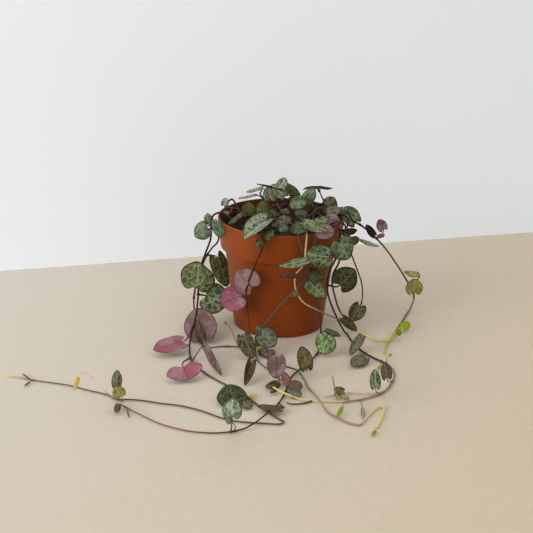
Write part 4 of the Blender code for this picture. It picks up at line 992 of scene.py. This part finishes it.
MIDDLE_SHOOT = Stem(
    "middle_shoot",
    (-6, -3),
    [at(-6, -3, 54), seen(272, 211, -2), seen(273.5, 206, -1), seen(278, 204, -2)],
    [
        Leaf(seen(264, 214.3, -1), seen(262.7, 200.2, 2), 8.0, (-5, 40), Look.MOSS, seen(271.5, 212, -2)),
        Leaf(seen(268, 218, -8), seen(267, 211.5, -7), 6.0, (0, 40), Look.DEEP, seen(271, 213.5, -2)),
        Leaf(seen(285, 213, -7), seen(286, 208, -5), 5.4, (0, 40), Look.DEEP, seen(277, 204.5, -2)),
        Leaf(seen(284.5, 223.5, -14), seen(283.5, 215, -12), 7.5, (0, 40), Look.SMOOTH, seen(271, 214, -2.5)),
        Leaf(seen(277, 208, 0), seen(288, 202.5, 2), 3.4, (0, 60), Look.MAROON, seen(274, 206, -1)),
        Leaf(seen(277, 217, -5), seen(270.5, 210, -4), 5.0, (-10, 40), Look.DEEP, seen(271.5, 212, -2)),
    ],
    (Twig([seen(274.5, 205.2, -1.3), seen(269.5, 209.5, -1.5), seen(263, 216, -4)], Tint.DARK),),
)

RIGHT_SHOOT = Stem(
    "right_shoot",
    (13, 0),
    [at(13.5, -1, 55), seen(313, 214, -4), seen(316, 209, -3), seen(321, 207.5, -3)],
    [
        Leaf(seen(327, 213, -2), seen(341, 209, -2), 7.0, (0, 50), Look.GREY, seen(321, 207.5, -3)),
        Leaf(seen(328, 219, -4), seen(340.3, 222, -6), 6.6, (170, -30), Look.LILAC, seen(315, 211, -3.5)),
        Leaf(seen(305.5, 216, -6), seen(294.5, 212, -6), 7.0, (0, 50), Look.DEEP, seen(313, 213, -4)),
        Leaf(seen(304.5, 222.3, -34), seen(327.8, 231.8, -40), 6.8, (0, 60), Look.MARBLED, seen(305, 217, -4)),
        Leaf(seen(316.5, 222.5, -13), seen(328.5, 218.3, -12), 5.6, (0, 40), Look.MARBLED, seen(313.5, 213, -4)),
        Leaf(seen(309, 213.5, 4), seen(300.5, 208.5, 5), 4.8, (0, 50), Look.DEEP, seen(313, 212, -4)),
        Leaf(seen(312, 214.5, 1), seen(322.5, 206.5, 4), 5.6, (10, 45), Look.MAROON, seen(314, 212, -3.7)),
        Leaf(seen(339, 211.8, 3), seen(344.3, 207.3, 4), 3.6, (0, 45), Look.GREY, seen(321, 207.5, -3)),
    ],
)

FRONT_SHOOT = Stem(
    "front_shoot",
    (-4, -14),
    [at(-4, -15, 56), seen(276, 220.5, -19), seen(281, 219, -22), seen(287, 222, -25)],
    [
        Leaf(seen(267, 221, -31), seen(243, 239.5, -38), 10.4, (-12, 62), Look.SILVER, seen(276, 220.5, -19), 0.8),
        Leaf(seen(286, 226.5, -31), seen(279, 231, -33), 4.4, (0, 45), Look.SMOOTH, seen(287, 222, -25)),
        Leaf(seen(278.5, 223.5, -25), seen(272, 225.5, -26), 4.4, (0, 50), Look.DEEP, seen(280, 219.5, -21.5)),
        Leaf(seen(294, 225, -28), seen(304.5, 232.5, -35), 8.0, (0, 45), Look.DEEP, seen(286.5, 221.5, -25)),
    ],
)

STEMS = [
    LEFT_STRAND, BACK_LEFT_STRAND, FRONT_LEFT_STRAND, DIAGONAL_STRAND, FRONT_STRAND, PALE_STRAND,
    RIGHT_STRAND, BUDDING_STRAND, RIGHT_BACK_STRAND, RIGHT_ARC, LEFT_SHOOT, BACK_LEFT_SHOOT, BACK_SHOOT,
    BACK_RIGHT_SHOOT, MIDDLE_SHOOT, RIGHT_SHOOT, FRONT_SHOOT,
]


@dataclass
class Tubes:
    """The round growth of a plant: its stems, twigs and stalks, each a circle carried along a path."""

    step: float = 0.5
    sides: int = 10
    lowest: float = LAID_HEIGHT
    layers: tuple[str, ...] = ("stem_tint", "stem_place")

    def smooth(self, points: list[np.ndarray]) -> tuple[np.ndarray, np.ndarray]:
        """A centripetal Catmull-Rom curve through points, kept on the table.

        The curve's parameter grows by the square root of the distance from point to point, and each
        span blends the straight lines through its four nearest points. All spans are worked out at once.

        Args:
            points: The points that the curve passes through.

        Returns:
            The curve's points, about one step apart, and for each the number of the point given before
            it with the share of the way to the next.
        """
        through = np.array(points)
        ends = np.concatenate([[2 * through[0] - through[1]], through, [2 * through[-1] - through[-2]]])
        spans = np.linalg.norm(np.diff(ends, axis=0), axis=1)
        counts = np.maximum(2, np.ceil(spans[1:-1] / self.step)).astype(int)
        span = np.repeat(np.arange(len(counts)), counts)
        share = (np.arange(counts.sum()) - np.repeat(np.cumsum(counts) - counts, counts)) / counts[span]
        p0, p1, p2, p3 = (ends[span + number] for number in range(4))
        t1 = spans[span, None] ** 0.5
        t2 = t1 + spans[span + 1, None] ** 0.5
        t3 = t2 + spans[span + 2, None] ** 0.5
        t = t1 + (t2 - t1) * share[:, None]
        a1 = p0 + (p1 - p0) * t / t1
        a2 = p1 + (p2 - p1) * (t - t1) / (t2 - t1)
        a3 = p2 + (p3 - p2) * (t - t2) / (t3 - t2)
        b1 = a1 + (a2 - a1) * t / t2
        b2 = a2 + (a3 - a2) * (t - t1) / (t3 - t1)
        route = np.concatenate([b1 + (b2 - b1) * (t - t1) / (t2 - t1), through[-1:]])
        route[:, 2] = np.maximum(route[:, 2], self.lowest)
        return route, np.append(span + share, len(through) - 1)

    @staticmethod
    def frames(route: np.ndarray) -> tuple[np.ndarray, np.ndarray, np.ndarray]:
        """Unit vectors forward, to the side and to the other side at each point, with no twist.

        Each point first gets a side square to its direction. Every side is then carried to the next
        point by the turn between the two directions, and the angle that it misses the next side by is
        added up along the route and turned back.

        Args:
            route: The points of a path.

        Returns:
            The three vectors at each point.
        """
        forward = unit(np.gradient(route, axis=0))
        steep = np.abs(forward[:, 2:]) > 0.8
        side = unit(np.cross(forward, np.where(steep, (1.0, 0.0, 0.0), (0.0, 0.0, 1.0))))
        other = np.cross(forward, side)
        axis = np.cross(forward[:-1], forward[1:])
        cosine = np.sum(forward[:-1] * forward[1:], axis=1, keepdims=True)
        along = np.sum(axis * side[:-1], axis=1, keepdims=True)
        carried = cosine * side[:-1] + np.cross(axis, side[:-1]) + axis * along / (1 + cosine)
        missed = np.arctan2(np.sum(carried * other[1:], axis=1), np.sum(carried * side[1:], axis=1))
        turn = np.append(0.0, np.cumsum(missed))[:, None]
        turned = np.cos(turn) * side + np.sin(turn) * other
        return forward, turned, np.cross(forward, turned)

    def tube(self, route: np.ndarray, radius: np.ndarray, tint: np.ndarray, seed: float) -> Shape:
        """A circle of varying radius carried along a route.

        A point is the route's point plus the radius times the cosine and the sine of its turn on the two
        side vectors. Each end is shut by a pole half a radius beyond it.

        Args:
            route: The middle line.
            radius: The radius at each of its points.
            tint: The linear colour at each of its points.
            seed: A number that sets this tube's pattern apart.

        Returns:
            The tube, with its colour and its own coordinates as layers.
        """
        forward, side, other = self.frames(route)
        turns = (np.arange(self.sides) * 2 * math.pi / self.sides)[None, :, None]
        wide = radius[:, None, None]
        rings = route[:, None] + wide * (np.cos(turns) * side[:, None] + np.sin(turns) * other[:, None])
        run = np.append(0.0, np.cumsum(np.linalg.norm(np.diff(route, axis=0), axis=1)))
        round_way = np.concatenate([np.cos(turns), np.sin(turns)], axis=-1) * wide
        place = np.concatenate([round_way, np.broadcast_to(run[:, None, None] + 90 * seed, wide.shape[:1] + (self.sides, 1))], axis=-1)
        ends = route[[0, -1]] + forward[[0, -1]] * radius[[0, -1], None] * np.array([[-0.5], [0.5]])
        centre = np.stack([0 * run[[0, -1]], 0 * run[[0, -1]], run[[0, -1]] + 90 * seed], axis=1)
        poles = np.concatenate([ends, tint[[0, -1]], centre], axis=1)
        return Shape.closed(filled(rings, tint[:, None], place), poles, self.layers)


@dataclass
class Plant:
    """One leafy stem of the plant, built as two pieces: its stem with the stalks, and its blades."""

    stem: Stem
    seed: int
    tubes: Tubes = field(default_factory=Tubes)
    hole_bottom: float = 44.0
    soil_top: float = 50.0
    stalk_radius: float = 0.36
    thickness: float = 0.9
    cup: float = 0.09
    table_gap: float = 0.2
    rings: int = 22
    turns: int = 56
    layers: tuple[str, ...] = (
        "leaf_place",
        "leaf_form",
        "leaf_run",
        "leaf_amount",
        "leaf_face",
        "leaf_net",
        "leaf_margin",
        "leaf_under",
    )

    def __post_init__(self) -> None:
        """Works out the stem's middle line, its twigs' lines and each leaf's random numbers."""
        random = np.random.default_rng(100 + self.seed)
        self.chances = random.uniform(-1, 1, (len(self.stem.leaves), 12))
        foot = [
            at(*self.stem.foot, self.hole_bottom + 0.35),
            at(*self.stem.foot, self.soil_top - 1),
            at(*self.stem.foot, self.soil_top + 1.5),
        ]
        self.route, self.stations = self.tubes.smooth(foot + self.stem.route)
        self.stations = self.stations - len(foot)
        self.twigs = [(self.tubes.smooth(twig.route)[0], twig.tint) for twig in self.stem.twigs]
        self.lines = np.concatenate([self.route, *(route for route, _ in self.twigs)])

    @staticmethod
    def heart(turn: np.ndarray) -> tuple[np.ndarray, np.ndarray]:
        """The outline of a blade.

        Across is the sine of the turn. Along is the round leaf's cosine, plus a bump of height 0.45 at
        the notch, plus one of height 0.1 at the tip, scaled so that it runs from 0 to 1.

        Args:
            turn: The turn round the outline, from the notch at 0 to the tip at pi.

        Returns:
            The share of the half width across, and the share of the way from the notch to the tip.
        """
        length, notch, tip = 0.94, 0.45, 0.1
        along = (
            -length * np.cos(turn)
            + notch * np.exp(-((turn / 0.38) ** 2))
            + tip * np.exp(-(((math.pi - np.abs(turn)) / 0.4) ** 2))
            + length
            - notch
        )
        return np.sin(turn), along / (2 * length + tip - notch)

    @staticmethod
    def directions(leaf: Leaf) -> tuple[np.ndarray, np.ndarray, np.ndarray, float]:
        """The unit vectors along a leaf, across it and out of its upper face, and its length."""
        length = float(np.linalg.norm(leaf.tip - leaf.base))
        along = (leaf.tip - leaf.base) / length
        round_way, up_way = np.radians(leaf.face)
        out = at(
            math.sin(round_way) * math.cos(up_way), -math.cos(round_way) * math.cos(up_way), math.sin(up_way)
        )
        out = unit(out - along * (out @ along))
        return along, np.cross(along, out), out, length

    def blade(self, leaf: Leaf, chance: np.ndarray) -> Shape:
        """A blade as a closed cushion.

        The first parameter runs from the middle of the upper face, over the rim, to the middle of the
        lower face: its sine is the share of the way to the outline, and its cosine half the thickness.
        The second is the turn round the outline. The blade's middle surface bends down with the square
        of the distance across, and has a fold and a crease along the midrib, a wave round the margin,
        and a tip that dips.

        Args:
            leaf: The leaf.
            chance: Its random numbers, from -1 to 1.

        Returns:
            The blade with its layers.
        """
        along, across, out, length = self.directions(leaf)
        way = (np.arange(self.rings) + 0.5) / self.rings * math.pi
        spin = np.arange(self.turns) * 2 * math.pi / self.turns - math.pi
        spin = spin - 0.3 * np.sin(2 * spin)
        share = np.append(np.sin(way) ** 0.85, [0.0, 0.0])[:, None]
        side = np.append(np.cos(way), [1.0, -1.0])[:, None]
        rim_across, rim_along = self.heart(spin)
        a = share * rim_across
        b = 0.35 + share * (rim_along - 0.35)
        cup = self.cup + 0.03 * chance[0]
        fold = leaf.fold + 0.08 + 0.08 * chance[1]
        spread = a**2 + 0.5 * (b - 0.35) ** 2
        ridge = np.sqrt(a**2 + 0.012) - 0.11
        wave = 0.02 * share**3 * (np.sin(3 * spin + 3 * chance[2]) + 0.7 * np.sin(5 * spin + 3 * chance[3]))
        dip = (0.06 + 0.06 * chance[4]) * np.maximum(b - 0.6, 0) ** 2
        crease = 0.016 * np.exp(-((a / 0.07) ** 2)) * (1 - share**4)
        height = leaf.width * (-spread * cup + fold * ridge / 2 + wave - crease) - dip * length
        half = self.thickness / 2 * min(1.0, 0.45 + leaf.width / 18) * side * (1 - 0.25 * share**2)
        skew = 0.04 * chance[5] * np.sin(math.pi * b)
        points = (
            leaf.base
            + (a + skew)[..., None] * leaf.width / 2 * across
            + b[..., None] * length * along
            + (height + half)[..., None] * out
        )
        points[..., 2] += max(0.0, self.table_gap - points[..., 2].min())
        x, y = a * leaf.width / 2, b * length
        before, beyond = np.hypot(x, y) + 0.08 * length, np.hypot(x, length - y) + 0.05 * length
        cosine = (before**2 + beyond**2 - (1.13 * length) ** 2) / (2 * before * beyond)
        bow = np.sign(a) * (math.pi - np.arccos(np.clip(cosine, -1, 1)))
        finish = leaf.look.value
        seed = 40 * chance[6]
        place = np.stack([x * 0.75 + seed, y * 0.75 + seed, 0 * y + seed], axis=-1) * finish.grain
        form = np.stack([bow, share + 0 * bow, side + 0 * bow], axis=-1)
        run = np.stack([x, y, 0 * y + length], axis=-1)
        shade = 1 + 0.12 * chance[7]
        warm = 1 + 0.06 * chance[8] * np.array([1.0, 0.0, -1.0])
        colours = [linear(c) * shade * warm for c in (finish.face, finish.net, finish.margin, finish.under)]
        amount = np.array([finish.cover * (1 + 0.2 * chance[9]), finish.strength, finish.rough])
        grid = filled(points, place, form, run, amount, *colours)
        return Shape.closed(grid[:-2], grid[-2:].mean(axis=1), self.layers)

    def tint(self, stations: np.ndarray) -> np.ndarray:
        """The stem's linear colour at stations along its route."""
        places = [place for place, _ in self.stem.tints]
        colours = np.array([linear(tint.value) for _, tint in self.stem.tints])
        return np.stack([np.interp(stations, places, colours[:, part]) for part in range(3)], axis=-1)

    def stalk(self, leaf: Leaf, number: int) -> Shape:
        """A leaf's stalk: a cubic curve from the nearest point of the stem into the blade."""
        wanted = leaf.base if leaf.root is None else leaf.root
        near = np.linalg.norm(self.lines - wanted, axis=1).argmin()
        start = self.lines[near]
        along, _, _, length = self.directions(leaf)
        reach = np.linalg.norm(leaf.base - start)
        lead_in = start + (leaf.base - start) * 0.35
        lead_out = leaf.base - along * min(0.4 * reach, 4.0)
        t = np.linspace(0, 1, max(6, int(reach / 0.7)))[:, None]
        curve = (
            start * (1 - t) ** 3
            + lead_in * 3 * t * (1 - t) ** 2
            + lead_out * 3 * t**2 * (1 - t)
            + leaf.base * t**3
        )
        route = np.concatenate([curve, [leaf.base + along * min(1.0, 0.2 * length)]])
        route[:, 2] = np.maximum(route[:, 2], self.stalk_radius + self.table_gap)
        share = np.linspace(0, 1, len(route))
        size = min(1.35, 0.45 + leaf.width / 16)
        radius = self.stalk_radius * size * (1.15 - 0.35 * share + 0.5 * np.exp(-share * reach / 0.8))
        radius[-1] *= 0.5
        first = self.tint(self.stations[near]) if near < len(self.route) else linear(Tint.TAN.value)
        last = linear(leaf.look.value.under) * 0.8
        tint = first + (last - first) * share[:, None] ** 0.8
        return self.tubes.tube(route, radius, tint, number * 0.37)

    def stem_shape(self) -> Shape:
        """The stem, its twigs and its stalks. The stem swells a little where each stalk leaves it."""
        share = np.linspace(0, 1, len(self.route))
        radius = STEM_RADIUS + (self.stem.tip_radius - STEM_RADIUS) * share
        roots = np.array([leaf.base if leaf.root is None else leaf.root for leaf in self.stem.leaves])
        apart = np.linalg.norm(self.route[:, None] - roots[None], axis=-1)
        near = np.linalg.norm(self.route - self.route[apart.argmin(axis=0)][:, None], axis=-1).min(axis=0)
        radius = radius * (0.9 + 0.45 * np.exp(-((near / 0.9) ** 2)))
        shapes = [self.tubes.tube(self.route, radius, self.tint(self.stations), self.seed * 0.13)]
        for number, (route, tint) in enumerate(self.twigs):
            thin = self.stem.tip_radius * np.linspace(1.1, 0.75, len(route))
            colour = np.broadcast_to(linear(tint.value), route.shape)
            shapes.append(self.tubes.tube(route, thin, colour, number * 0.71))
        shapes += [self.stalk(leaf, number) for number, leaf in enumerate(self.resting())]
        return Shape.joined(shapes)

    def resting(self) -> list[Leaf]:
        """The leaves, each lifted where its blade would lie lower than the table."""
        lifted = []
        for leaf in self.stem.leaves:
            along, across, out, length = self.directions(leaf)
            a, b = self.heart(np.linspace(-math.pi, math.pi, 24))
            drop = (a**2 + 0.5 * (b - 0.35) ** 2) * leaf.width * self.cup
            z = leaf.base[2] + a * leaf.width / 2 * across[2] + b * length * along[2] - drop * out[2]
            lift = at(0, 0, max(0.0, self.table_gap + 0.4 * abs(out[2]) - z.min()))
            values = {**leaf.__dict__, "base": leaf.base + lift, "tip": leaf.tip + lift}
            lifted.append(Leaf(**values))
        return lifted

    def build(self, bark: bpy.types.Material, skin: bpy.types.Material) -> list[bpy.types.Object]:
        """The two pieces of this leafy stem."""
        name = self.stem.name
        blades = [self.blade(leaf, chance) for leaf, chance in zip(self.resting(), self.chances)]
        return [
            self.stem_shape().piece(f"{name}_stem", name, "foliage", bark),
            Shape.joined(blades).piece(f"{name}_leaves", name, "foliage", skin),
        ]


@dataclass(frozen=True)
class LeafSkin:
    """The leaves' skin: soft pale veins and marbling on the upper face, and a blotched underside.

    The marbling's cells lie between arcs that run from the stalk to the tip, as the main veins do.
    """

    patch: float = 0.62
    fleck: float = 2.0
    side_veins: float = 0.4
    gloss: float = 0.48
    vein_bump: float = 0.12
    ash: Colour = (160, 144, 142)

    def material(self) -> bpy.types.Material:
        """The material, which reads every colour and amount from the mesh's layers."""
        tree = Tree("leaf_skin")
        place = tree.layer("leaf_place")
        bow, rim, side = tree.parts(tree.layer("leaf_form"))
        cover, strength, rough = tree.parts(tree.layer("leaf_amount"))
        across, along, length = tree.parts(tree.layer("leaf_run"))
        pushed = tree.warped(place, 1.2, 0.55)
        edge = tree.cells(pushed, self.patch)
        coarse = tree.noise(place, 0.55, 2.0)
        fine = tree.noise(place, self.fleck, 3.0, 0.6)
        net = 1 - tree.ease(edge + (fine - 0.5) * 0.36, 0.0, cover * 1.2)
        patch = 0.35 + 0.65 * tree.ease(coarse, 0.36, 0.6)
        midrib = 1 - tree.ease(abs(across) + (fine - 0.5) * 0.15, 0.12, 0.42)
        arc = 1 - tree.ease(abs(abs(bow) - 0.72) + (fine - 0.5) * 0.1, 0.01, 0.12)
        slant = tree.maths("FRACT", (along - 0.7 * abs(across) + 1.4 * coarse) * self.side_veins)
        branch = tree.ease(abs(slant - 0.5), 0.36, 0.5)
        veins = tree.maths("MAXIMUM", midrib, tree.maths("MAXIMUM", arc * 0.7, branch * 0.7) * patch)
        inside = 1 - tree.ease(rim + (coarse - 0.5) * 0.1, 0.86, 0.97)
        marbling = 0.64 * net * patch + 0.46 * tree.ease(fine, 0.42, 0.66) - 0.06
        pale = tree.maths("MAXIMUM", marbling, veins * 0.9) * inside * strength
        face = tree.shaded(tree.layer("leaf_face", "Color"), 0.6 + 0.8 * coarse)
        margin = tree.layer("leaf_margin", "Color")
        upper = tree.mix(pale, face, tree.layer("leaf_net", "Color"))
        upper = tree.mix(tree.ease(rim, 0.9, 0.97) * 0.85, upper, margin)
        under = tree.layer("leaf_under", "Color")
        blotch = tree.noise(place, 0.9, 4.0, 0.7)
        soft = tree.noise(place, 0.3, 2.0) + (blotch - 0.5) * 0.4
        lower = tree.mix(tree.ease(soft, 0.42, 0.6) * 0.45, under, linear(self.ash))
        lower = tree.shaded(lower, 0.56 + 0.36 * fine + 0.36 * blotch + 0.1 * net)
        lower = tree.mix(tree.maths("MAXIMUM", midrib * 0.7, veins * 0.3), lower, tree.shaded(under, 0.45))
        lower = tree.mix(tree.ease(rim, 0.9, 0.98) * 0.7, lower, margin)
        above = tree.ease(side, -0.12, 0.12)
        colour = tree.mix(above, lower, upper)
        height = edge * above - veins * 0.5 + fine * 0.35
        return tree.finish(
            Base_Color=colour,
            Roughness=self.gloss + 0.14 * fine + 0.06 * (1 - above) + rough,
            Normal=tree.bump(height, self.vein_bump, 0.7),
            Specular_IOR_Level=0.2,
        )


@dataclass(frozen=True)
class StemBark:
    """The stems' skin: its colour runs along the stem, with fine streaks and a satin gloss."""

    streaks: float = 0.8
    gloss: float = 0.5

    def material(self) -> bpy.types.Material:
        """The material, which reads its colour from the mesh's layer."""
        tree = Tree("stem_bark")
        place = tree.layer("stem_place")
        streak = tree.noise(tree.stretched(place, (2.5, 2.5, 0.35)), self.streaks, 3.0, 0.6)
        mottle = tree.noise(place, 0.9, 2.0)
        colour = tree.shaded(tree.layer("stem_tint", "Color"), 0.6 + 0.5 * streak + 0.3 * mottle)
        return tree.finish(
            Base_Color=colour,
            Roughness=self.gloss + 0.15 * mottle,
            Normal=tree.bump(streak, 0.08),
            Specular_IOR_Level=0.25,
        )


@dataclass(frozen=True)
class Plastic:
    """The pot's moulded plastic: terracotta red, faintly grained, dusty in streaks, with a peat stain and painted
    shade inside and painted shade in its drain slots.
    """

    pot: Pot
    colour: Colour = (142, 64, 9)
    dark: Colour = (126, 54, 5)
    dust: Colour = (172, 104, 52)
    # The inner wall's colours, a peat stain and painted shade; the first is also the painted shade in the drain
    # slots.
    stain_and_shade: tuple[Colour, Colour] = ((46, 28, 18), (96, 50, 26))
    skin: float = 0.45
    # The next two set how far below the rim, and by how much, the inner wall's stain and painted shade lighten.
    fade_height: float = 9.0
    rim_fade: float = 0.35
    gloss: float = 0.4

    def material(self) -> bpy.types.Material:
        """The material, on the pot's own coordinates in metres."""
        tree = Tree("terracotta_plastic")
        place = tree.place()
        broad = tree.noise(tree.stretched(place, (1.0, 1.0, 0.35)), 60.0, 3.0, 0.55)
        grain = tree.noise(place, 1600.0, 2.0)
        scuff = tree.noise(tree.stretched(place, (1.0, 1.0, 4.0)), 220.0, 4.0, 0.7)
        worn = tree.ease(scuff, 0.6, 0.78)
        colour = tree.mix(tree.ease(broad, 0.3, 0.7), linear(self.dark), linear(self.colour))
        colour = tree.mix(worn * 0.22, colour, linear(self.dust))
        x, y, z = tree.parts(place)
        radius = tree.maths("SQRT", x * x + y * y)
        slope = (self.pot.rim_radius - self.pot.collar_radius) / (self.pot.height - self.pot.collar_height)
        foot = (self.pot.collar(0.0) - self.skin) * MM
        # Painted shade with a peat stain: the inner wall above the step takes the darker stain-and-shade colours,
        # less of them near the rim.
        inner = tree.ease(foot + z * slope - radius, 0.0, 0.1 * MM)
        stained_and_shaded = tree.mix(tree.ease(scuff, 0.4, 0.7), *map(linear, self.stain_and_shade))
        above = tree.ease(z, self.pot.collar_height * MM, self.pot.collar_height * MM + MM)
        sunk = 1 - self.rim_fade * tree.ease(z, (self.pot.height - self.fade_height) * MM, (self.pot.height - 1) * MM)
        colour = tree.mix(inner * above * sunk, colour, stained_and_shaded)
        # Painted shade: the cut faces inside the drain slots, low down and within the base's edge, take the
        # darkest stain-and-shade colour.
        slot = 1 - tree.ease(z, self.pot.slot_size[2] * MM, (self.pot.slot_size[2] + 0.2) * MM)
        behind = 1 - tree.ease(radius, (self.pot.base_radius - 0.8) * MM, (self.pot.base_radius - 0.1) * MM)
        colour = tree.mix(slot * behind, colour, linear(self.stain_and_shade[0]))
        return tree.finish(
            Base_Color=colour,
            Roughness=self.gloss + 0.12 * broad + 0.12 * worn,
            Normal=tree.bump(grain + broad * 2, 0.02),
            Specular_IOR_Level=0.25,
        )


@dataclass(frozen=True)
class Peat:
    """The peat: near black, with brown crumbs and pale fibres."""

    dark: Colour = (30, 22, 18)
    brown: Colour = (66, 48, 38)
    pale: Colour = (120, 100, 80)

    def material(self) -> bpy.types.Material:
        """The material, on the soil's own coordinates in metres."""
        tree = Tree("peat")
        place = tree.place()
        crumb = tree.noise(place, 420.0, 4.0, 0.65)
        fleck = tree.noise(tree.warped(place, 300.0, 0.004), 900.0, 2.0, 0.6)
        colour = tree.mix(tree.ease(crumb, 0.35, 0.65), linear(self.dark), linear(self.brown))
        colour = tree.mix(tree.ease(fleck, 0.66, 0.74) * 0.8, colour, linear(self.pale))
        return tree.finish(
            Base_Color=colour,
            Roughness=0.9 + 0.08 * crumb,
            Normal=tree.bump(crumb, 0.6),
            Specular_IOR_Level=0.2,
        )


@dataclass(frozen=True)
class Studio:
    """The table, the wall behind it and the light: a soft, wide window on the left and pale air around.

    The table and the wall each have a colour at the left and one at the right of the picture: the change between
    them is painted light, lighter on the window's side and darker away from it.
    """

    table: tuple[Colour, Colour] = ((212, 205, 192), (205, 187, 160))
    wall: tuple[Colour, Colour] = ((240, 243, 249), (230, 236, 243))
    glow: float = 0.11
    reach: float = 3000.0
    edge: tuple[tuple[float, float], tuple[float, float]] = ((0.0, 271.0), (533.0, 232.0))
    wall_height: float = 1600.0
    air: tuple[float, float] = (0.03, 1.12)
    air_way: Colour = (-0.42, -0.36, 0.83)
    air_start: float = -0.55
    key_energy: float = 17.2
    key_size: float = 1.15
    key_place: Colour = (-1.5, -1.25, 0.82)

    def sheet(self, name: str, corners: np.ndarray, material: bpy.types.Material) -> bpy.types.Object:
        """A flat sheet through four corners, as part of the stage."""
        mesh = bpy.data.meshes.new(name)
        mesh.from_pydata(corners * MM, [], [(0, 1, 2, 3)])
        mesh.materials.append(material)
        made = bpy.data.objects.new(name, mesh)
        bpy.context.scene.collection.objects.link(made)
        return made

    def plain(self, name: str, colours: tuple[Colour, Colour], grain: float, glow: float) -> bpy.types.Material:
        """A matt material whose colour changes as painted light from left to right and towards the front, with a
        faint mottle.

        Args:
            name: The material's name.
            colours: Its colours 200 mm left and 200 mm right of the pot, painted lighter on the window's side and
                darker away from it.
            grain: How much the mottle darkens it.
            glow: How much of its own colour it gives off. It is then clear from behind.

        Returns:
            The material.
        """
        tree = Tree(name)
        place = tree.place()
        cloud = tree.noise(place, 14.0, 3.0)
        fibre = tree.noise(tree.stretched(place, (1.0, 0.6, 1.0)), 320.0, 5.0, 0.8)
        x, y, _ = tree.parts(place)
        # Painted light: the share of the second, darker colour grows to the right and towards the front.
        share = 0.45 + 2.2 * x - 0.9 * y
        base = tree.mix(tree.maths("MINIMUM", tree.maths("MAXIMUM", share, 0.0), 1.0), *map(linear, colours))
        base = tree.shaded(base, 1 + 0.2 * grain * (cloud - 0.5) + grain * (fibre - 0.5))
        back = tree.out(tree.node("ShaderNodeNewGeometry"), "Backfacing")
        return tree.finish(
            Base_Color=base,
            Roughness=0.8,
            Specular_IOR_Level=0.15,
            Emission_Color=base,
            Emission_Strength=glow,
            Alpha=1 - back if glow else 1.0,
        )

    def build(self) -> None:
        """Makes the table, the wall along the table's far edge, the window's light and the air."""
        r = self.reach
        floor = np.array([[-r, -r, 0.0], [r, -r, 0.0], [r, r, 0.0], [-r, r, 0.0]])
        self.sheet("table", floor, self.plain("table", self.table, 0.2, 0.0))
        left, right = (laid(u, v, 0.0) for u, v in self.edge)
        way = unit(right - left) * r
        middle = (left + right) / 2
        up = at(0, 0, self.wall_height)
        wall = np.array([middle - way, middle + way, middle + way + up, middle - way + up])
        self.sheet("wall", wall, self.plain("wall", self.wall, 0.02, self.glow))
        light = bpy.data.lights.new("window", "AREA")
        light.shape = "SQUARE"
        light.size = self.key_size
        light.energy = self.key_energy
        lamp = bpy.data.objects.new("window", light)
        lamp.location = self.key_place
        toward = -np.array(self.key_place) + at(0, 0, 0.03)
        turn = np.stack([unit(np.cross(toward, at(0, 0, 1))), np.zeros(3), -unit(toward)], axis=1)
        turn[:, 1] = np.cross(turn[:, 2], turn[:, 0])
        lamp.matrix_world = Matrix.Translation(self.key_place) @ Matrix(turn.tolist()).to_4x4()
        bpy.context.scene.collection.objects.link(lamp)
        self.surround()
        bpy.context.scene.view_settings.view_transform = "Standard"

    def surround(self) -> None:
        """Makes the air around: pale, and brightest from above on the left."""
        world = bpy.data.worlds.new("air")
        world.use_nodes = True
        nodes, links = world.node_tree.nodes, world.node_tree.links
        facing = nodes.new("ShaderNodeVectorMath")
        facing.operation = "DOT_PRODUCT"
        facing.inputs[1].default_value = self.air_way
        links.new(nodes.new("ShaderNodeTexCoord").outputs["Generated"], facing.inputs[0])
        strength = nodes.new("ShaderNodeMapRange")
        strength.inputs["From Min"].default_value = self.air_start
        strength.inputs["To Min"].default_value = self.air[0]
        strength.inputs["To Max"].default_value = self.air[1]
        links.new(facing.outputs["Value"], strength.inputs["Value"])
        background = nodes["Background"]
        background.inputs["Color"].default_value = (1.0, 1.0, 1.0, 1.0)
        links.new(strength.outputs[0], background.inputs["Strength"])
        bpy.context.scene.world = world


def report(pieces: list[bpy.types.Object]) -> None:
    """Logs each piece with its count of faces."""
    for piece in pieces:
        log.info("%s: %d faces", piece.name, len(piece.data.polygons))


def main() -> None:
    """Builds the camera, the pot, the peat, the plant and the studio, in that order."""
    logging.basicConfig(level=logging.INFO, format="%(message)s")
    EYE.build()
    pot = Pot()
    report([pot.build(Plastic(pot).material()), Soil(pot).build(Peat().material())])
    bark, skin = StemBark().material(), LeafSkin().material()
    for number, stem in enumerate(STEMS):
        report(Plant(stem, number).build(bark, skin))
    Studio().build()


if __name__ == "__main__":
    main()
